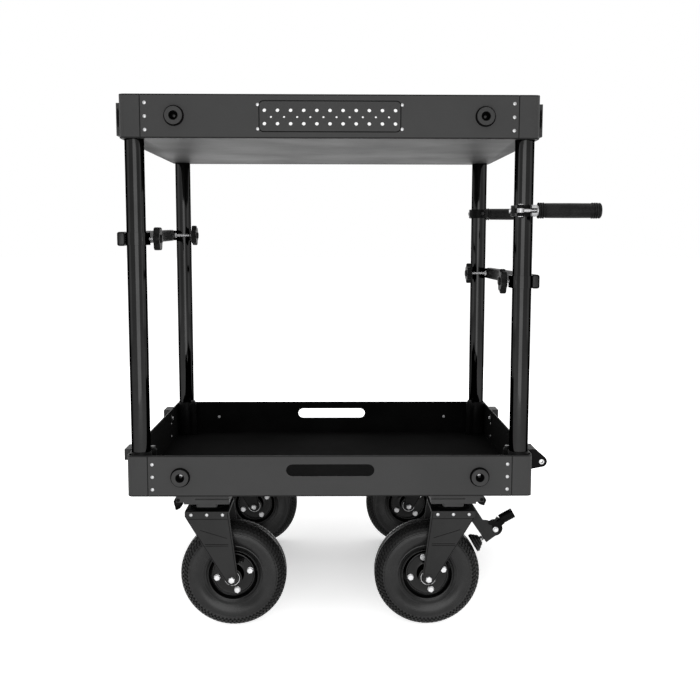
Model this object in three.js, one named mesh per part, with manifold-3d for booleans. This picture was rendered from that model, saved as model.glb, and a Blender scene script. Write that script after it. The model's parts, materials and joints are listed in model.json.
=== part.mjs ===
// Camera cart: two riveted sheet-metal trays on four round posts, running on four swivel casters.
// Millimetres, +Z up. The cart is modelled with its front face on y = 0 and its middle on x = 0,
// and the whole group is then moved so that the origin is the middle of its box on the floor.

import * as THREE from "three";
import { mergeVertices, toCreasedNormals } from "three/addons/utils/BufferGeometryUtils.js";
import Module from "manifold-3d";

const wasm = await Module();
wasm.setup();

// Clearance between pieces that touch, and how far a cutter runs past the face it cuts.
const gap = 0.3;
const overrun = 2;

// Trays: folded sheet, the lower edge heights being above the floor.
const tray = {
  width: 817.6, depth: 657.2, height: 84, sheet: 3, cornerRadius: 12,
  topHeight: 994, bottomHeight: 284,
  endReach: 41.8, lapLength: 22, lapStep: 4, lapMargin: 2,
};
const handSlot = { length: 178, height: 25, belowRim: 30.7 };

// Round corner posts and how far their axes stand inside the trays' outer faces.
const post = { radius: 19.05, wall: 2.5, cap: 3, insetX: 25.4, insetY: 24.4, belowRim: 8 };

// Perforated accessory plate in the front of the top tray.
const plate = {
  width: 272.8, height: 57, thickness: 6.6, proud: 0.6, cornerRadius: 8, flange: 12, flangeThickness: 3,
  flangeUp: 8, holePitch: 25.4, largeHoles: 11, smallHoles: 10, largeRadius: 4.8, smallRadius: 3.2,
  rowSpacing: 25.4, clearance: 0.6, rowDrop: 1,
};

// Spigot receivers in the front of both trays.
const receiver = {
  flangeRadius: 19.8, flangeProud: 9, bodyRadius: 15, bodyLength: 28, boreRadius: 8, fromSide: 107.3,
  heightInTop: 42.6, heightInBottom: 39.6, counterboreRadius: 11, counterboreDepth: 3,
};

// Square backing blocks on the ends of the top tray.
const sideBlock = { length: 63, height: 63, proud: 8, fromFront: 20, fromEdge: 6 };

// Small blocks near the rim on the ends of the bottom tray, and the eye lug on one of them.
const rimBlock = { length: 51, height: 23, proud: 19, fromFront: 70, belowRim: 1.6 };
const lug = { thickness: 6, eyeRadius: 11.6, boreRadius: 3, eyeOut: 31.3, eyeBelowRim: 28, foot: 43,
  footOut: 4.7 };

// Pneumatic wheels on split rims.
const wheel = { radius: 109.5, width: 65, segments: 24 };
const tyreWidthShares = { bead: 0.58, lower: 0.86, upper: 0.93, shoulder: 0.7, crown: 0.3 };
const tyreRiseShares = { lower: 0.17, side: 0.45, upper: 0.7, shoulder: 0.9 };
const rim = { seatRadius: 50.5, flangeRadius: 54.5, flangeEdge: 2.6, flangeHalf: 22, discRadius: 44,
  discHalf: 16, hubRadius: 20, hubHalf: 44, cavityDepth: 12, cavityWall: 4,
  valveRadius: 4 };
const axle = { radius: 6, headRadius: 9.5, headHeight: 7.6, headSides: 6, boreClearance: 0.3 };

// Caster forks, their kingpins and the grooved rails that carry them under the bottom tray.
const caster = { kingpinFromSide: 158.5, kingpinInset: 55.6, trail: 49.2 };
const fork = { width: 89, depth: 104, topHeight: 252, crown: 6, leg: 5, shoulder: 11, tipRadius: 13 };
const rail = { width: 91.4, height: 17, depth: 104, grooveDepth: 3, grooveHeight: 2.4, grooveDrop: 5 };
const bearing = { discRadius: 38.5, discHeight: 3, bodyRadius: 22, pinRadius: 8, nutRadius: 13,
  nutHeight: 8, nutSides: 6 };
const latch = { width: 26, length: 12.7, toe: 5.5, heel: 3.8, heelRise: 2.2, thumb: 8.9, thumbDrop: 3.2,
  headRadius: 6, pinRadius: 2.5, pinBelowRail: 8, fromRailEnd: 11.3, earThickness: 3, earReach: 15.5,
  earHeight: 13 };

// Foot brake on the two casters under the handles, in the plane of the wheel.
const brake = {
  plate: 4, plateFront: 11, backReach: 11, footThickness: 4, footDrop: 32.7, elbowOut: 66.6,
  elbowHeight: 220.8, cornerOut: 76.1, cornerHeight: 220, pivotOut: 92.9, pivotHeight: 201.3,
  noseRadius: 11.5, toeOut: 104.3, toeHeight: 195.2, tailOut: 74.4, tailHeight: 173.1, boltRadius: 4,
  shoeAngle: 31, shoeClearance: 3.6, shoeRadius: 19.5, shoeFace: 5, shoeTaper: 13, shoeBackRadius: 9,
  studRadius: 4, studLength: 21, guideStart: 28, guideLength: 6, guideHalf: 8, leverHub: 15.5,
  armWidth: 14, armLength: 21.1, armAngle: 57, gripRadius: 10, gripLength: 30, gripAngle: 29,
};

// Height-adjustable side bars with their strap clamps and star knobs. A place's drop is how far the
// front end hangs below the top tray.
const bar = { width: 15.6, height: 28, wall: 2.5, cap: 4, inset: 30, cornerRadius: 4 };
const barPlaces = {
  left: { drop: 193.6, rise: 9, clearance: 3 },
  right: { drop: 278, rise: -2.7, clearance: 0.3 },
};
const strap = { height: 25, thickness: 1.5, boltReach: 28, earReach: 36, boltRadius: 4 };
const knob = { radius: 25.5, lobes: 6, valleyRadius: 20.5, thickness: 13.2, noseRadius: 8,
  noseLength: 3, nutRadius: 6.5, nutLength: 5.6, boltEnd: 7 };

// How far each knob is screwed out, and how it is turned.
const knobPlaces = {
  left: { front: { out: 9.6, turn: 30 }, rear: { out: 4.2, turn: 15 } },
  right: { front: { out: 6, turn: 15 }, rear: { out: 0.2, turn: 0 } },
};

// Folding handles on the right-hand posts, each with its drop below the top tray.
const handle = {
  frontDrop: 137.8, rearDrop: 127.7, bandRadius: 25, bandHeight: 21.5, ear: 6, earRadius: 8,
  pivotBack: 12.4, pivotOut: 36.4, pinRadius: 3, eyeRadius: 7, rodRadius: 3.2, tipStart: 20.4,
  tipRadius: 11, coreRadius: 11, gripStart: 33, gripLength: 123.8, gripRadius: 14.6, collarRadius: 15.5,
  collarLength: 12, slotHeight: 9.2,
};

// Facets on round pieces, by how large they are.
const facets = { post: 20, small: 10, medium: 16, arc: 4, lobe: 6 };

// Paints and bare materials.
function finish(color, roughness, metalness) {
  return new THREE.MeshStandardMaterial({ color, roughness, metalness });
}
const paint = finish("#434343", 0.55, 0.3);
const gloss = finish("#070707", 0.2, 0.3);
const black = finish("#101010", 0.5, 0.2);
const forkPaint = finish("#333333", 0.5, 0.3);
const railPaint = finish("#4a4a4a", 0.45, 0.5);
const rubber = finish("#222222", 0.8, 0);
const gripRubber = finish("#2a2a2a", 0.75, 0);
const zinc = finish("#c9cacc", 0.3, 0.9);
const aluminium = finish("#8a8a8a", 0.4, 0.8);

const quarter = Math.PI / 2;
const half = (size) => size / 2;
const degrees = THREE.MathUtils.degToRad;
const creaseAngle = degrees(30);

// Solids and booleans.
function solidOf(geometry) {
  const bare = geometry.clone();
  bare.deleteAttribute("normal");
  bare.deleteAttribute("uv");
  const merged = mergeVertices(bare);
  return new wasm.Manifold(new wasm.Mesh({
    numProp: 3,
    vertProperties: new Float32Array(merged.attributes.position.array),
    triVerts: new Uint32Array(merged.index.array),
  }));
}

function geometryOf(solid) {
  const mesh = solid.getMesh();
  const geometry = new THREE.BufferGeometry();
  geometry.setAttribute("position", new THREE.BufferAttribute(mesh.vertProperties, mesh.numProp));
  geometry.setIndex(new THREE.BufferAttribute(mesh.triVerts, 1));
  return toCreasedNormals(geometry, creaseAngle);
}

function join(first, ...others) {
  return geometryOf(others.reduce((sum, next) => sum.add(solidOf(next)), solidOf(first)));
}

function cut(first, ...cutters) {
  return geometryOf(cutters.reduce((rest, next) => rest.subtract(solidOf(next)), solidOf(first)));
}

// Plain shapes. A plate is drawn in one plane and given its thickness along the third axis.
function extrude(points, depth) {
  const shape = new THREE.Shape(points);
  return new THREE.ExtrudeGeometry(shape, { depth, bevelEnabled: false, steps: 1 });
}

function plateXY(points, z, depth) {
  return extrude(points, depth).translate(0, 0, z);
}

function plateXZ(points, y, depth) {
  return extrude(points, depth).rotateX(quarter).translate(0, y + depth, 0);
}

function plateYZ(points, x, depth) {
  return extrude(points, depth).rotateX(quarter).rotateZ(quarter).translate(x, 0, 0);
}

function block(x0, x1, y0, y1, z0, z1) {
  const box = new THREE.BoxGeometry(Math.abs(x1 - x0), Math.abs(y1 - y0), Math.abs(z1 - z0));
  return box.translate(half(x0 + x1), half(y0 + y1), half(z0 + z1));
}

function rodY(radius, x, y0, y1, z, sides) {
  const rod = new THREE.CylinderGeometry(radius, radius, y1 - y0, sides);
  return rod.translate(x, half(y0 + y1), z);
}

function rodX(radius, x0, x1, y, z, sides) {
  const rod = new THREE.CylinderGeometry(radius, radius, Math.abs(x1 - x0), sides);
  return rod.rotateZ(quarter).translate(half(x0 + x1), y, z);
}

function rodZ(radius, x, y, z0, z1, sides) {
  const rod = new THREE.CylinderGeometry(radius, radius, z1 - z0, sides);
  return rod.rotateX(quarter).translate(x, y, half(z0 + z1));
}

// Points of an outline.
function point(x, y) {
  return new THREE.Vector2(x, y);
}

function arc(x, y, radius, from, to, steps) {
  const points = [];
  for (let i = 0; i <= steps; i++) {
    const angle = from + ((to - from) * i) / steps;
    points.push(point(x + radius * Math.cos(angle), y + radius * Math.sin(angle)));
  }
  return points;
}

function roundedRectangle(x0, x1, y0, y1, radius, steps = facets.arc) {
  return [
    ...arc(x1 - radius, y0 + radius, radius, -quarter, 0, steps),
    ...arc(x1 - radius, y1 - radius, radius, 0, quarter, steps),
    ...arc(x0 + radius, y1 - radius, radius, quarter, 2 * quarter, steps),
    ...arc(x0 + radius, y0 + radius, radius, 2 * quarter, 3 * quarter, steps),
  ];
}

// The outline that a stretched band round some circles would take.
function hull(points) {
  const sorted = [...points].sort((a, b) => a.x - b.x || a.y - b.y);
  const turn = (o, a, b) => (a.x - o.x) * (b.y - o.y) - (a.y - o.y) * (b.x - o.x);
  const chain = (list) => {
    const kept = [];
    for (const next of list) {
      while (kept.length > 1 && turn(kept.at(-2), kept.at(-1), next) <= 0) kept.pop();
      kept.push(next);
    }
    return kept.slice(0, -1);
  };
  return [...chain(sorted), ...chain(sorted.reverse())];
}

// A ring or a solid of revolution about Y from a closed outline of (radius, y) points.
function revolve(points, segments) {
  return new THREE.LatheGeometry([...points, points[0]], segments);
}

// Trays. Heights inside a tray are measured from its lower edge.
const halfWidth = half(tray.width);
const seam = halfWidth - tray.endReach;
const inner = tray.sheet + gap;
const postX = halfWidth - post.insetX;
const receiverX = halfWidth - receiver.fromSide;
const postYs = { front: post.insetY, rear: tray.depth - post.insetY };

function trayPan(base) {
  const { depth, height, sheet } = tray;
  const channel = plateYZ([
    point(0, 0), point(depth, 0), point(depth, height), point(depth - sheet, height),
    point(depth - sheet, sheet), point(sheet, sheet), point(sheet, height), point(0, height),
  ], -(seam - gap), 2 * (seam - gap));
  const floor = plateXY(roundedRectangle(
    inner - halfWidth, halfWidth - inner, inner, depth - inner, tray.cornerRadius - inner,
  ), 0, sheet);
  return join(channel, floor).translate(0, 0, base);
}

function receiverHoles(z) {
  return [-1, 1].map((side) => rodY(receiver.bodyRadius + gap, side * receiverX,
    -overrun, tray.sheet + overrun, z, facets.medium));
}

function slotCutter(z) {
  const reach = half(handSlot.length);
  const radius = half(handSlot.height);
  const outline = roundedRectangle(-reach, reach, z - radius, z + radius, radius);
  return plateXZ(outline, -overrun, tray.depth + 2 * overrun);
}

const plateZ = tray.topHeight + half(tray.height);

function windowCutter() {
  const grow = plate.clearance;
  const outline = roundedRectangle(-half(plate.width) - grow, half(plate.width) + grow,
    plateZ - half(plate.height) - grow, plateZ + half(plate.height) + grow, plate.cornerRadius + grow);
  return plateXZ(outline, -overrun, tray.sheet + 2 * overrun);
}

function topPan() {
  const base = tray.topHeight;
  const postHoles = [-1, 1].flatMap((side) => Object.values(postYs).map((y) =>
    rodZ(post.radius + gap, side * postX, y, base - overrun, base + tray.sheet + overrun, facets.post)));
  return cut(trayPan(base), windowCutter(), ...receiverHoles(base + receiver.heightInTop), ...postHoles);
}

function bottomPan() {
  const base = tray.bottomHeight;
  return cut(trayPan(base), slotCutter(base + tray.height - handSlot.belowRim),
    ...receiverHoles(base + receiver.heightInBottom));
}

// One end of a tray: a wall that wraps round both corners, with a lap behind the front and rear panels.
function trayEnd(side, base) {
  const { depth, height, sheet, cornerRadius } = tray;
  const mirror = ([x, y]) => point(side * x, y);
  const outerTurn = (y, from, to) => arc(halfWidth - cornerRadius, y, cornerRadius, from, to, facets.arc);
  const innerTurn = (y, from, to) => arc(halfWidth - cornerRadius, y, cornerRadius - sheet, from, to,
    facets.arc);
  const wall = [
    [seam, 0], ...outerTurn(cornerRadius, -quarter, 0).map((p) => [p.x, p.y]),
    ...outerTurn(depth - cornerRadius, 0, quarter).map((p) => [p.x, p.y]), [seam, depth],
    [seam, depth - sheet], ...innerTurn(depth - cornerRadius, quarter, 0).map((p) => [p.x, p.y]),
    ...innerTurn(cornerRadius, 0, -quarter).map((p) => [p.x, p.y]), [seam, sheet],
  ].map(mirror);
  const lap = [
    [seam - tray.lapLength, inner], [seam, inner], [seam, half(sheet)],
    [seam + tray.lapStep, half(sheet)], [seam + tray.lapStep, inner + sheet],
    [seam - tray.lapLength, inner + sheet],
  ];
  const lapHeight = height - inner - tray.lapMargin;
  const laps = [(y) => y, (y) => depth - y].map((place) =>
    plateXY(lap.map(([x, y]) => mirror([x, place(y)])), base + inner, lapHeight));
  return join(plateXY(wall, base, height), ...laps);
}

// The same block near the front and near the rear of a tray end.
function pairedAlongDepth(fromFront, length, make) {
  return [make(fromFront, fromFront + length), make(tray.depth - fromFront - length,
    tray.depth - fromFront)];
}

function topEnd(side) {
  const base = tray.topHeight;
  const z = base + sideBlock.fromEdge;
  const blocks = pairedAlongDepth(sideBlock.fromFront, sideBlock.length, (y0, y1) =>
    block(side * (halfWidth - half(tray.sheet)), side * (halfWidth + sideBlock.proud), y0, y1,
      z, z + sideBlock.height));
  return join(trayEnd(side, base), ...blocks);
}

const rimBlockTop = tray.bottomHeight + tray.height - rimBlock.belowRim;

function bottomEnd(side) {
  const blocks = pairedAlongDepth(rimBlock.fromFront, rimBlock.length, (y0, y1) =>
    block(side * (halfWidth - half(tray.sheet)), side * (halfWidth + rimBlock.proud), y0, y1,
      rimBlockTop - rimBlock.height, rimBlockTop));
  return join(trayEnd(side, tray.bottomHeight), ...blocks);
}

// Eye lug bolted to the front of the block by the front right corner.
function eyeLug() {
  const x0 = halfWidth + gap;
  const top = rimBlockTop;
  const eyeX = halfWidth + lug.eyeOut;
  const eyeZ = tray.bottomHeight + tray.height - lug.eyeBelowRim;
  const outline = hull([
    point(x0, top), point(halfWidth + rimBlock.proud, top), point(x0, top - lug.foot),
    point(x0 + lug.footOut, top - lug.foot),
    ...arc(eyeX, eyeZ, lug.eyeRadius, -2 * quarter, 2 * quarter, facets.medium).slice(1),
  ]);
  const y = rimBlock.fromFront - gap - lug.thickness;
  return cut(plateXZ(outline, y, lug.thickness),
    rodY(lug.boreRadius, eyeX, y - overrun, y + lug.thickness + overrun, eyeZ, facets.small));
}

// A post is a tube closed by a cap, open at its foot. It stands on the bottom tray's floor.
function postTube(side, y) {
  const foot = tray.bottomHeight + inner;
  const top = tray.topHeight + tray.height - post.belowRim;
  const bore = post.radius - post.wall;
  const under = top - post.cap;
  const profile = [
    point(0, under), point(bore, under), point(bore, foot), point(post.radius, foot),
    point(post.radius, top), point(0, top),
  ];
  return new THREE.LatheGeometry(profile, facets.post).rotateX(quarter)
    .translate(side * postX, y, 0);
}

// Accessory plate: a pad that fills the window, and a wider flange behind the front panel.
function accessoryPlate() {
  const { width, height, cornerRadius, flange, flangeUp, flangeThickness } = plate;
  const pad = plateXZ(roundedRectangle(-half(width), half(width), plateZ - half(height),
    plateZ + half(height), cornerRadius), -plate.proud, plate.thickness);
  const back = plateXZ(roundedRectangle(-half(width) - flange, half(width) + flange,
    plateZ - half(height) - flangeUp, plateZ + half(height) + flangeUp, cornerRadius),
  inner, flangeThickness);
  const row = (count, radius, z) => Array.from({ length: count }, (_, i) =>
    rodY(radius, plate.holePitch * (i - half(count - 1)), -plate.proud - overrun,
      plate.thickness + overrun, z, facets.small));
  const rowZ = plateZ - plate.rowDrop;
  return cut(join(pad, back),
    ...row(plate.largeHoles, plate.largeRadius, rowZ + half(plate.rowSpacing)),
    ...row(plate.largeHoles, plate.largeRadius, rowZ - half(plate.rowSpacing)),
    ...row(plate.smallHoles, plate.smallRadius, rowZ));
}

// Receiver: a flanged bush in the front panel, bored right through.
function spigotReceiver(side, z) {
  const { flangeProud, flangeRadius, bodyRadius, bodyLength, boreRadius } = receiver;
  const profile = [
    point(boreRadius, bodyLength), point(boreRadius, receiver.counterboreDepth - flangeProud),
    point(receiver.counterboreRadius, -flangeProud), point(flangeRadius, -flangeProud),
    point(flangeRadius, -gap), point(bodyRadius, -gap), point(bodyRadius, bodyLength),
  ];
  return revolve(profile, facets.medium).translate(side * receiverX, 0, z);
}

// Wheels. The tyre and the rim share their facets, and a facet's flat lies on the floor.
const flatRadius = (radius) => radius / Math.cos(Math.PI / wheel.segments);
const facetTurn = Math.PI / wheel.segments;

function tyre() {
  const w = half(wheel.width);
  const foot = rim.seatRadius + gap;
  const rise = flatRadius(wheel.radius) - foot;
  const at = (widthShare, riseShare) => [w * widthShare, foot + rise * riseShare];
  const side = [
    at(tyreWidthShares.bead, 0), at(tyreWidthShares.lower, tyreRiseShares.lower),
    [w, foot + rise * tyreRiseShares.side], at(tyreWidthShares.upper, tyreRiseShares.upper),
    at(tyreWidthShares.shoulder, tyreRiseShares.shoulder),
    [w * tyreWidthShares.crown, foot + rise],
  ];
  const profile = [
    ...side.map(([y, r]) => point(r, -y)), ...side.reverse().map(([y, r]) => point(r, y)),
  ];
  return revolve(profile, wheel.segments).rotateY(facetTurn);
}

function wheelRim() {
  const { hubHalf, hubRadius, discHalf, discRadius, flangeHalf, flangeEdge } = rim;
  const bore = axle.radius + axle.boreClearance;
  const side = [
    [bore, hubHalf], [hubRadius, hubHalf], [hubRadius, discHalf], [discRadius, discHalf],
    [rim.flangeRadius, flangeHalf + flangeEdge], [rim.seatRadius, flangeHalf],
  ];
  const profile = [
    ...side.map(([r, y]) => point(r, -y)), ...side.reverse().map(([r, y]) => point(r, y)),
  ];
  const hollow = [
    point(hubRadius + rim.cavityWall, -rim.cavityDepth),
    point(discRadius - rim.cavityWall, -rim.cavityDepth),
    point(discRadius - rim.cavityWall, rim.cavityDepth),
    point(hubRadius + rim.cavityWall, rim.cavityDepth),
  ];
  const valve = rodX(rim.valveRadius, half(hubRadius + discRadius), rim.flangeRadius + overrun, 0, 0,
    facets.small);
  return cut(revolve(profile, wheel.segments), revolve(hollow, wheel.segments), valve)
    .rotateY(facetTurn);
}

function axleBolt() {
  const reach = half(fork.depth) + gap;
  const head = reach + axle.headHeight;
  return join(rodY(axle.radius, 0, -head, head, 0, facets.medium),
    rodY(axle.headRadius, 0, -head, -reach, 0, axle.headSides),
    rodY(axle.headRadius, 0, reach, head, 0, axle.headSides));
}

// Fork, in the caster's own place: kingpin on x = y = 0, wheel trailing towards +X times inward.
function forkBody(inward) {
  const { width, depth, topHeight, crown, leg, tipRadius } = fork;
  const outline = hull([
    point(-half(width), topHeight), point(half(width), topHeight),
    point(-inward * half(width), topHeight - fork.shoulder),
    ...arc(inward * caster.trail, wheel.radius, tipRadius, -2 * quarter, 2 * quarter,
      facets.small).slice(1),
  ]);
  const legs = [-half(depth), half(depth) - leg].map((y) => plateXZ(outline, y, leg));
  const plateOnTop = block(-half(width), half(width), -half(depth), half(depth), topHeight - crown,
    topHeight);
  const axleHole = rodY(axle.radius + axle.boreClearance, inward * caster.trail,
    -half(depth) - overrun, half(depth) + overrun, wheel.radius, facets.medium);
  const kingpinHole = rodZ(bearing.pinRadius + gap, 0, 0, topHeight - crown - overrun,
    topHeight + overrun, facets.medium);
  return cut(join(plateOnTop, ...legs), axleHole, kingpinHole);
}

// Brake, for casters whose wheel trails towards -X. The shoe moves towards the wheel's middle.
const shoeDirection = new THREE.Vector2(Math.cos(degrees(brake.shoeAngle)),
  Math.sin(degrees(brake.shoeAngle)));

function alongShoe(distance) {
  return { x: -caster.trail + shoeDirection.x * distance, z: wheel.radius + shoeDirection.y * distance };
}

// Turns a piece made about Y so that its axis lies along the shoe's travel, its foot on the wheel's side.
function placeOnShoeLine(geometry, distance) {
  const place = alongShoe(distance);
  return geometry.rotateZ(-quarter).rotateY(-degrees(brake.shoeAngle)).translate(place.x, 0, place.z);
}

const shoeStart = wheel.radius + brake.shoeClearance;

function brakeBracket() {
  const { plate: thickness, plateFront, backReach, guideHalf } = brake;
  const x0 = half(fork.width) - half(brake.footThickness);
  const top = fork.topHeight;
  const outline = [
    point(x0, top - brake.footDrop), point(brake.tailOut, brake.tailHeight),
    point(brake.toeOut, brake.toeHeight),
    ...arc(brake.pivotOut, brake.pivotHeight, brake.noseRadius, 0, half(quarter), half(facets.arc)),
    point(brake.cornerOut, brake.cornerHeight), point(brake.elbowOut, brake.elbowHeight),
    point(x0 + brake.footThickness, top), point(x0, top),
  ];
  const side = plateXZ(outline, -plateFront, thickness);
  const foot = block(x0, x0 + brake.footThickness, -plateFront, backReach, top - brake.footDrop, top);
  const guide = placeOnShoeLine(block(half(thickness) - plateFront, backReach, 0, brake.guideLength,
    -guideHalf, guideHalf), shoeStart + brake.guideStart);
  const studHole = new THREE.CylinderGeometry(brake.studRadius + gap, brake.studRadius + gap,
    brake.guideLength + 2 * overrun, facets.small).translate(0, half(brake.guideLength), 0);
  return cut(join(foot, side, guide), placeOnShoeLine(studHole, shoeStart + brake.guideStart),
    rodY(brake.boltRadius + gap, brake.pivotOut, -plateFront - overrun, overrun, brake.pivotHeight,
      facets.small));
}

function brakedFork() {
  return join(forkBody(-1), brakeBracket());
}

function brakeShoe() {
  const { shoeRadius, shoeFace, shoeTaper, shoeBackRadius, studRadius, studLength } = brake;
  const back = shoeFace + shoeTaper;
  const profile = [
    point(0, 0), point(shoeRadius, 0), point(shoeRadius, shoeFace), point(shoeBackRadius, back),
    point(studRadius, back), point(studRadius, back + studLength), point(0, back + studLength),
  ];
  return placeOnShoeLine(new THREE.LatheGeometry(profile, facets.medium), shoeStart);
}

function brakeLever() {
  const { armWidth, armLength, backReach } = brake;
  const near = brake.plate + gap - brake.plateFront;
  const arm = block(0, armLength, near, backReach, -half(armWidth), half(armWidth))
    .rotateY(-degrees(brake.armAngle));
  const elbow = { x: armLength * Math.cos(degrees(brake.armAngle)),
    z: armLength * Math.sin(degrees(brake.armAngle)) };
  const grip = rodX(brake.gripRadius, 0, brake.gripLength, 0, 0, facets.medium)
    .rotateY(-degrees(brake.gripAngle)).translate(elbow.x, 0, elbow.z);
  return join(rodY(brake.leverHub, 0, near, backReach, 0, facets.medium),
    rodY(brake.boltRadius, 0, -brake.plateFront, near + gap, 0, facets.small), arm, grip)
    .translate(brake.pivotOut, 0, brake.pivotHeight);
}

// Caster mount: grooved rail, bearing and kingpin, with the ears of the release latch.
const railTop = tray.bottomHeight - gap;
const railBase = railTop - rail.height;
const latchPivot = { x: half(rail.width) + latch.fromRailEnd, z: railTop - latch.pinBelowRail };

function latchSpan(frontward) {
  const near = half(rail.depth) - latch.earThickness - gap;
  const span = [-near, latch.width - near];
  return frontward ? span : [-span[1], -span[0]];
}

function casterMount(inward, frontward) {
  const { grooveDepth, grooveHeight, grooveDrop } = rail;
  const y = half(rail.depth);
  const upper = railTop - grooveDrop;
  const section = [
    point(-y, railBase), point(y, railBase), point(y, upper - grooveHeight),
    point(y - grooveDepth, upper - grooveHeight), point(y - grooveDepth, upper), point(y, upper),
    point(y, railTop), point(-y, railTop), point(-y, upper), point(grooveDepth - y, upper),
    point(grooveDepth - y, upper - grooveHeight), point(-y, upper - grooveHeight),
  ];
  const body = plateYZ(section, -half(rail.width), rail.width);
  const discTop = fork.topHeight + gap + bearing.discHeight;
  const nutTop = fork.topHeight - fork.crown - gap;
  const parts = [
    rodZ(bearing.discRadius, 0, 0, fork.topHeight + gap, discTop, facets.medium),
    rodZ(bearing.bodyRadius, 0, 0, fork.topHeight + gap, railBase + half(rail.height), facets.medium),
    rodZ(bearing.pinRadius, 0, 0, nutTop - bearing.nutHeight, discTop, facets.medium),
    rodZ(bearing.nutRadius, 0, 0, nutTop - bearing.nutHeight, nutTop, bearing.nutSides),
  ];
  const [y0, y1] = latchSpan(frontward);
  const ears = [[y0 - gap - latch.earThickness, y0 - gap], [y1 + gap, y1 + gap + latch.earThickness]]
    .map(([a, b]) => block(-inward * half(half(rail.width)), -inward * (half(rail.width)
      + latch.earReach), a, b, railTop - latch.earHeight, railTop));
  const pinHole = rodY(latch.pinRadius + gap, -inward * latchPivot.x, y0 - latch.earThickness - overrun,
    y1 + latch.earThickness + overrun, latchPivot.z, facets.small);
  return cut(join(body, ...parts, ...ears), pinHole);
}

function releaseLatch(inward, frontward) {
  const [y0, y1] = latchSpan(frontward);
  const out = -inward;
  const blade = hull([
    ...arc(0, 0, latch.headRadius, 0, 4 * quarter, facets.small).slice(1),
    point(-out * latch.heel, latch.heelRise - latch.length), point(out * latch.toe, -latch.length),
    point(out * latch.thumb, -latch.thumbDrop),
  ]);
  const pin = rodY(latch.pinRadius, 0, y0 - gap - latch.earThickness, y1 + gap + latch.earThickness, 0,
    facets.small);
  return join(plateXZ(blade, y0, y1 - y0), pin).translate(out * latchPivot.x, 0, latchPivot.z);
}

// Side bar: a capped box tube outside the posts, tilted a little when its ends are set at two heights.
const strapOuter = post.radius + gap + strap.thickness;
const barX = (clearance) => postX + strapOuter + clearance;
const boltYs = { front: postYs.front + strap.boltReach, rear: postYs.rear - strap.boltReach };

function sideBar(side, { rise, clearance }) {
  const { width, height, wall, cap, cornerRadius } = bar;
  const length = tray.depth - 2 * bar.inset;
  const shell = (shrink, shorten) => extrude(roundedRectangle(-half(width) + shrink,
    half(width) - shrink, -half(height) + shrink, half(height) - shrink, cornerRadius - shrink,
    half(facets.arc)), length - 2 * shorten).rotateX(quarter).translate(0, half(length) - shorten, 0);
  const tilt = Math.atan2(rise, boltYs.rear - boltYs.front);
  const tube = cut(shell(0, 0), shell(wall, cap)).rotateX(tilt);
  const holes = Object.values(boltYs).map((y) => rodX(strap.boltRadius + gap,
    -side * (half(width) + overrun), 0, y - half(tray.depth),
    Math.tan(tilt) * (y - half(tray.depth)), facets.small));
  return cut(tube, ...holes).translate(side * (barX(clearance) + half(width)), half(tray.depth), 0);
}

// Strap clamp: a band round the post whose two legs take the knob's bolt. towards is +1 on front posts.
function strapClamp(towards) {
  const turn = (radius) => arc(0, 0, radius, 2 * quarter, 4 * quarter, half(facets.post))
    .map((p) => point(p.x, towards * p.y));
  const outline = [
    point(-strapOuter, towards * strap.earReach), ...turn(strapOuter),
    point(strapOuter, towards * strap.earReach), point(post.radius + gap, towards * strap.earReach),
    ...turn(post.radius + gap).reverse(), point(-post.radius - gap, towards * strap.earReach),
  ];
  const bolt = rodX(strap.boltRadius + gap, -strapOuter - overrun, strapOuter + overrun,
    towards * strap.boltReach, 0, facets.small);
  return cut(plateXY(outline, -half(strap.height), strap.height), bolt);
}

// Star knob with its bolt and nut, along X: the head is on the inside of the post.
function starKnob(side, { out, turn }) {
  const { radius, valleyRadius, lobes, thickness } = knob;
  const rimPoints = [];
  const steps = facets.lobe * lobes;
  const swing = half(radius - valleyRadius);
  for (let i = 0; i < steps; i++) {
    const angle = (4 * quarter * i) / steps;
    const r = valleyRadius + swing + swing * Math.cos(lobes * angle);
    const turned = angle + quarter + degrees(turn);
    rimPoints.push(point(r * Math.cos(turned), r * Math.sin(turned)));
  }
  const face = strapOuter + gap + out;
  const head = plateYZ(rimPoints, side > 0 ? -face - thickness : face, thickness);
  return join(head,
    rodX(knob.noseRadius, -side * (face + thickness + knob.noseLength), -side * face, 0, 0, facets.small),
    rodX(strap.boltRadius, -side * face, side * (strapOuter + knob.boltEnd), 0, 0, facets.small),
    rodX(knob.nutRadius, side * (post.radius - knob.nutLength), side * post.radius, 0, 0,
      bearing.nutSides));
}

// Handle clamp: a band round the post with two ears and the upright pivot pin. outward is -1 in front.
function handleClamp(outward) {
  const { bandRadius, bandHeight, ear, earRadius, pivotBack, pivotOut, pinRadius } = handle;
  const z = half(bandHeight);
  const pivotY = outward * pivotOut;
  const band = rodZ(bandRadius, 0, 0, -z, z, facets.post);
  const earOutline = hull([
    ...arc(-pivotBack, pivotY, earRadius, 0, 4 * quarter, facets.small).slice(1),
    point(-pivotBack - earRadius, 0), point(-pivotBack + earRadius, 0),
  ]);
  const ears = [-z, z - ear].map((low) => plateXY(earOutline, low, ear));
  const pin = rodZ(pinRadius, -pivotBack, pivotY, -z, z, facets.small);
  const bore = rodZ(post.radius + gap, 0, 0, -z - overrun, z + overrun, facets.post);
  return join(cut(join(band, ...ears), bore), pin);
}

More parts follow.
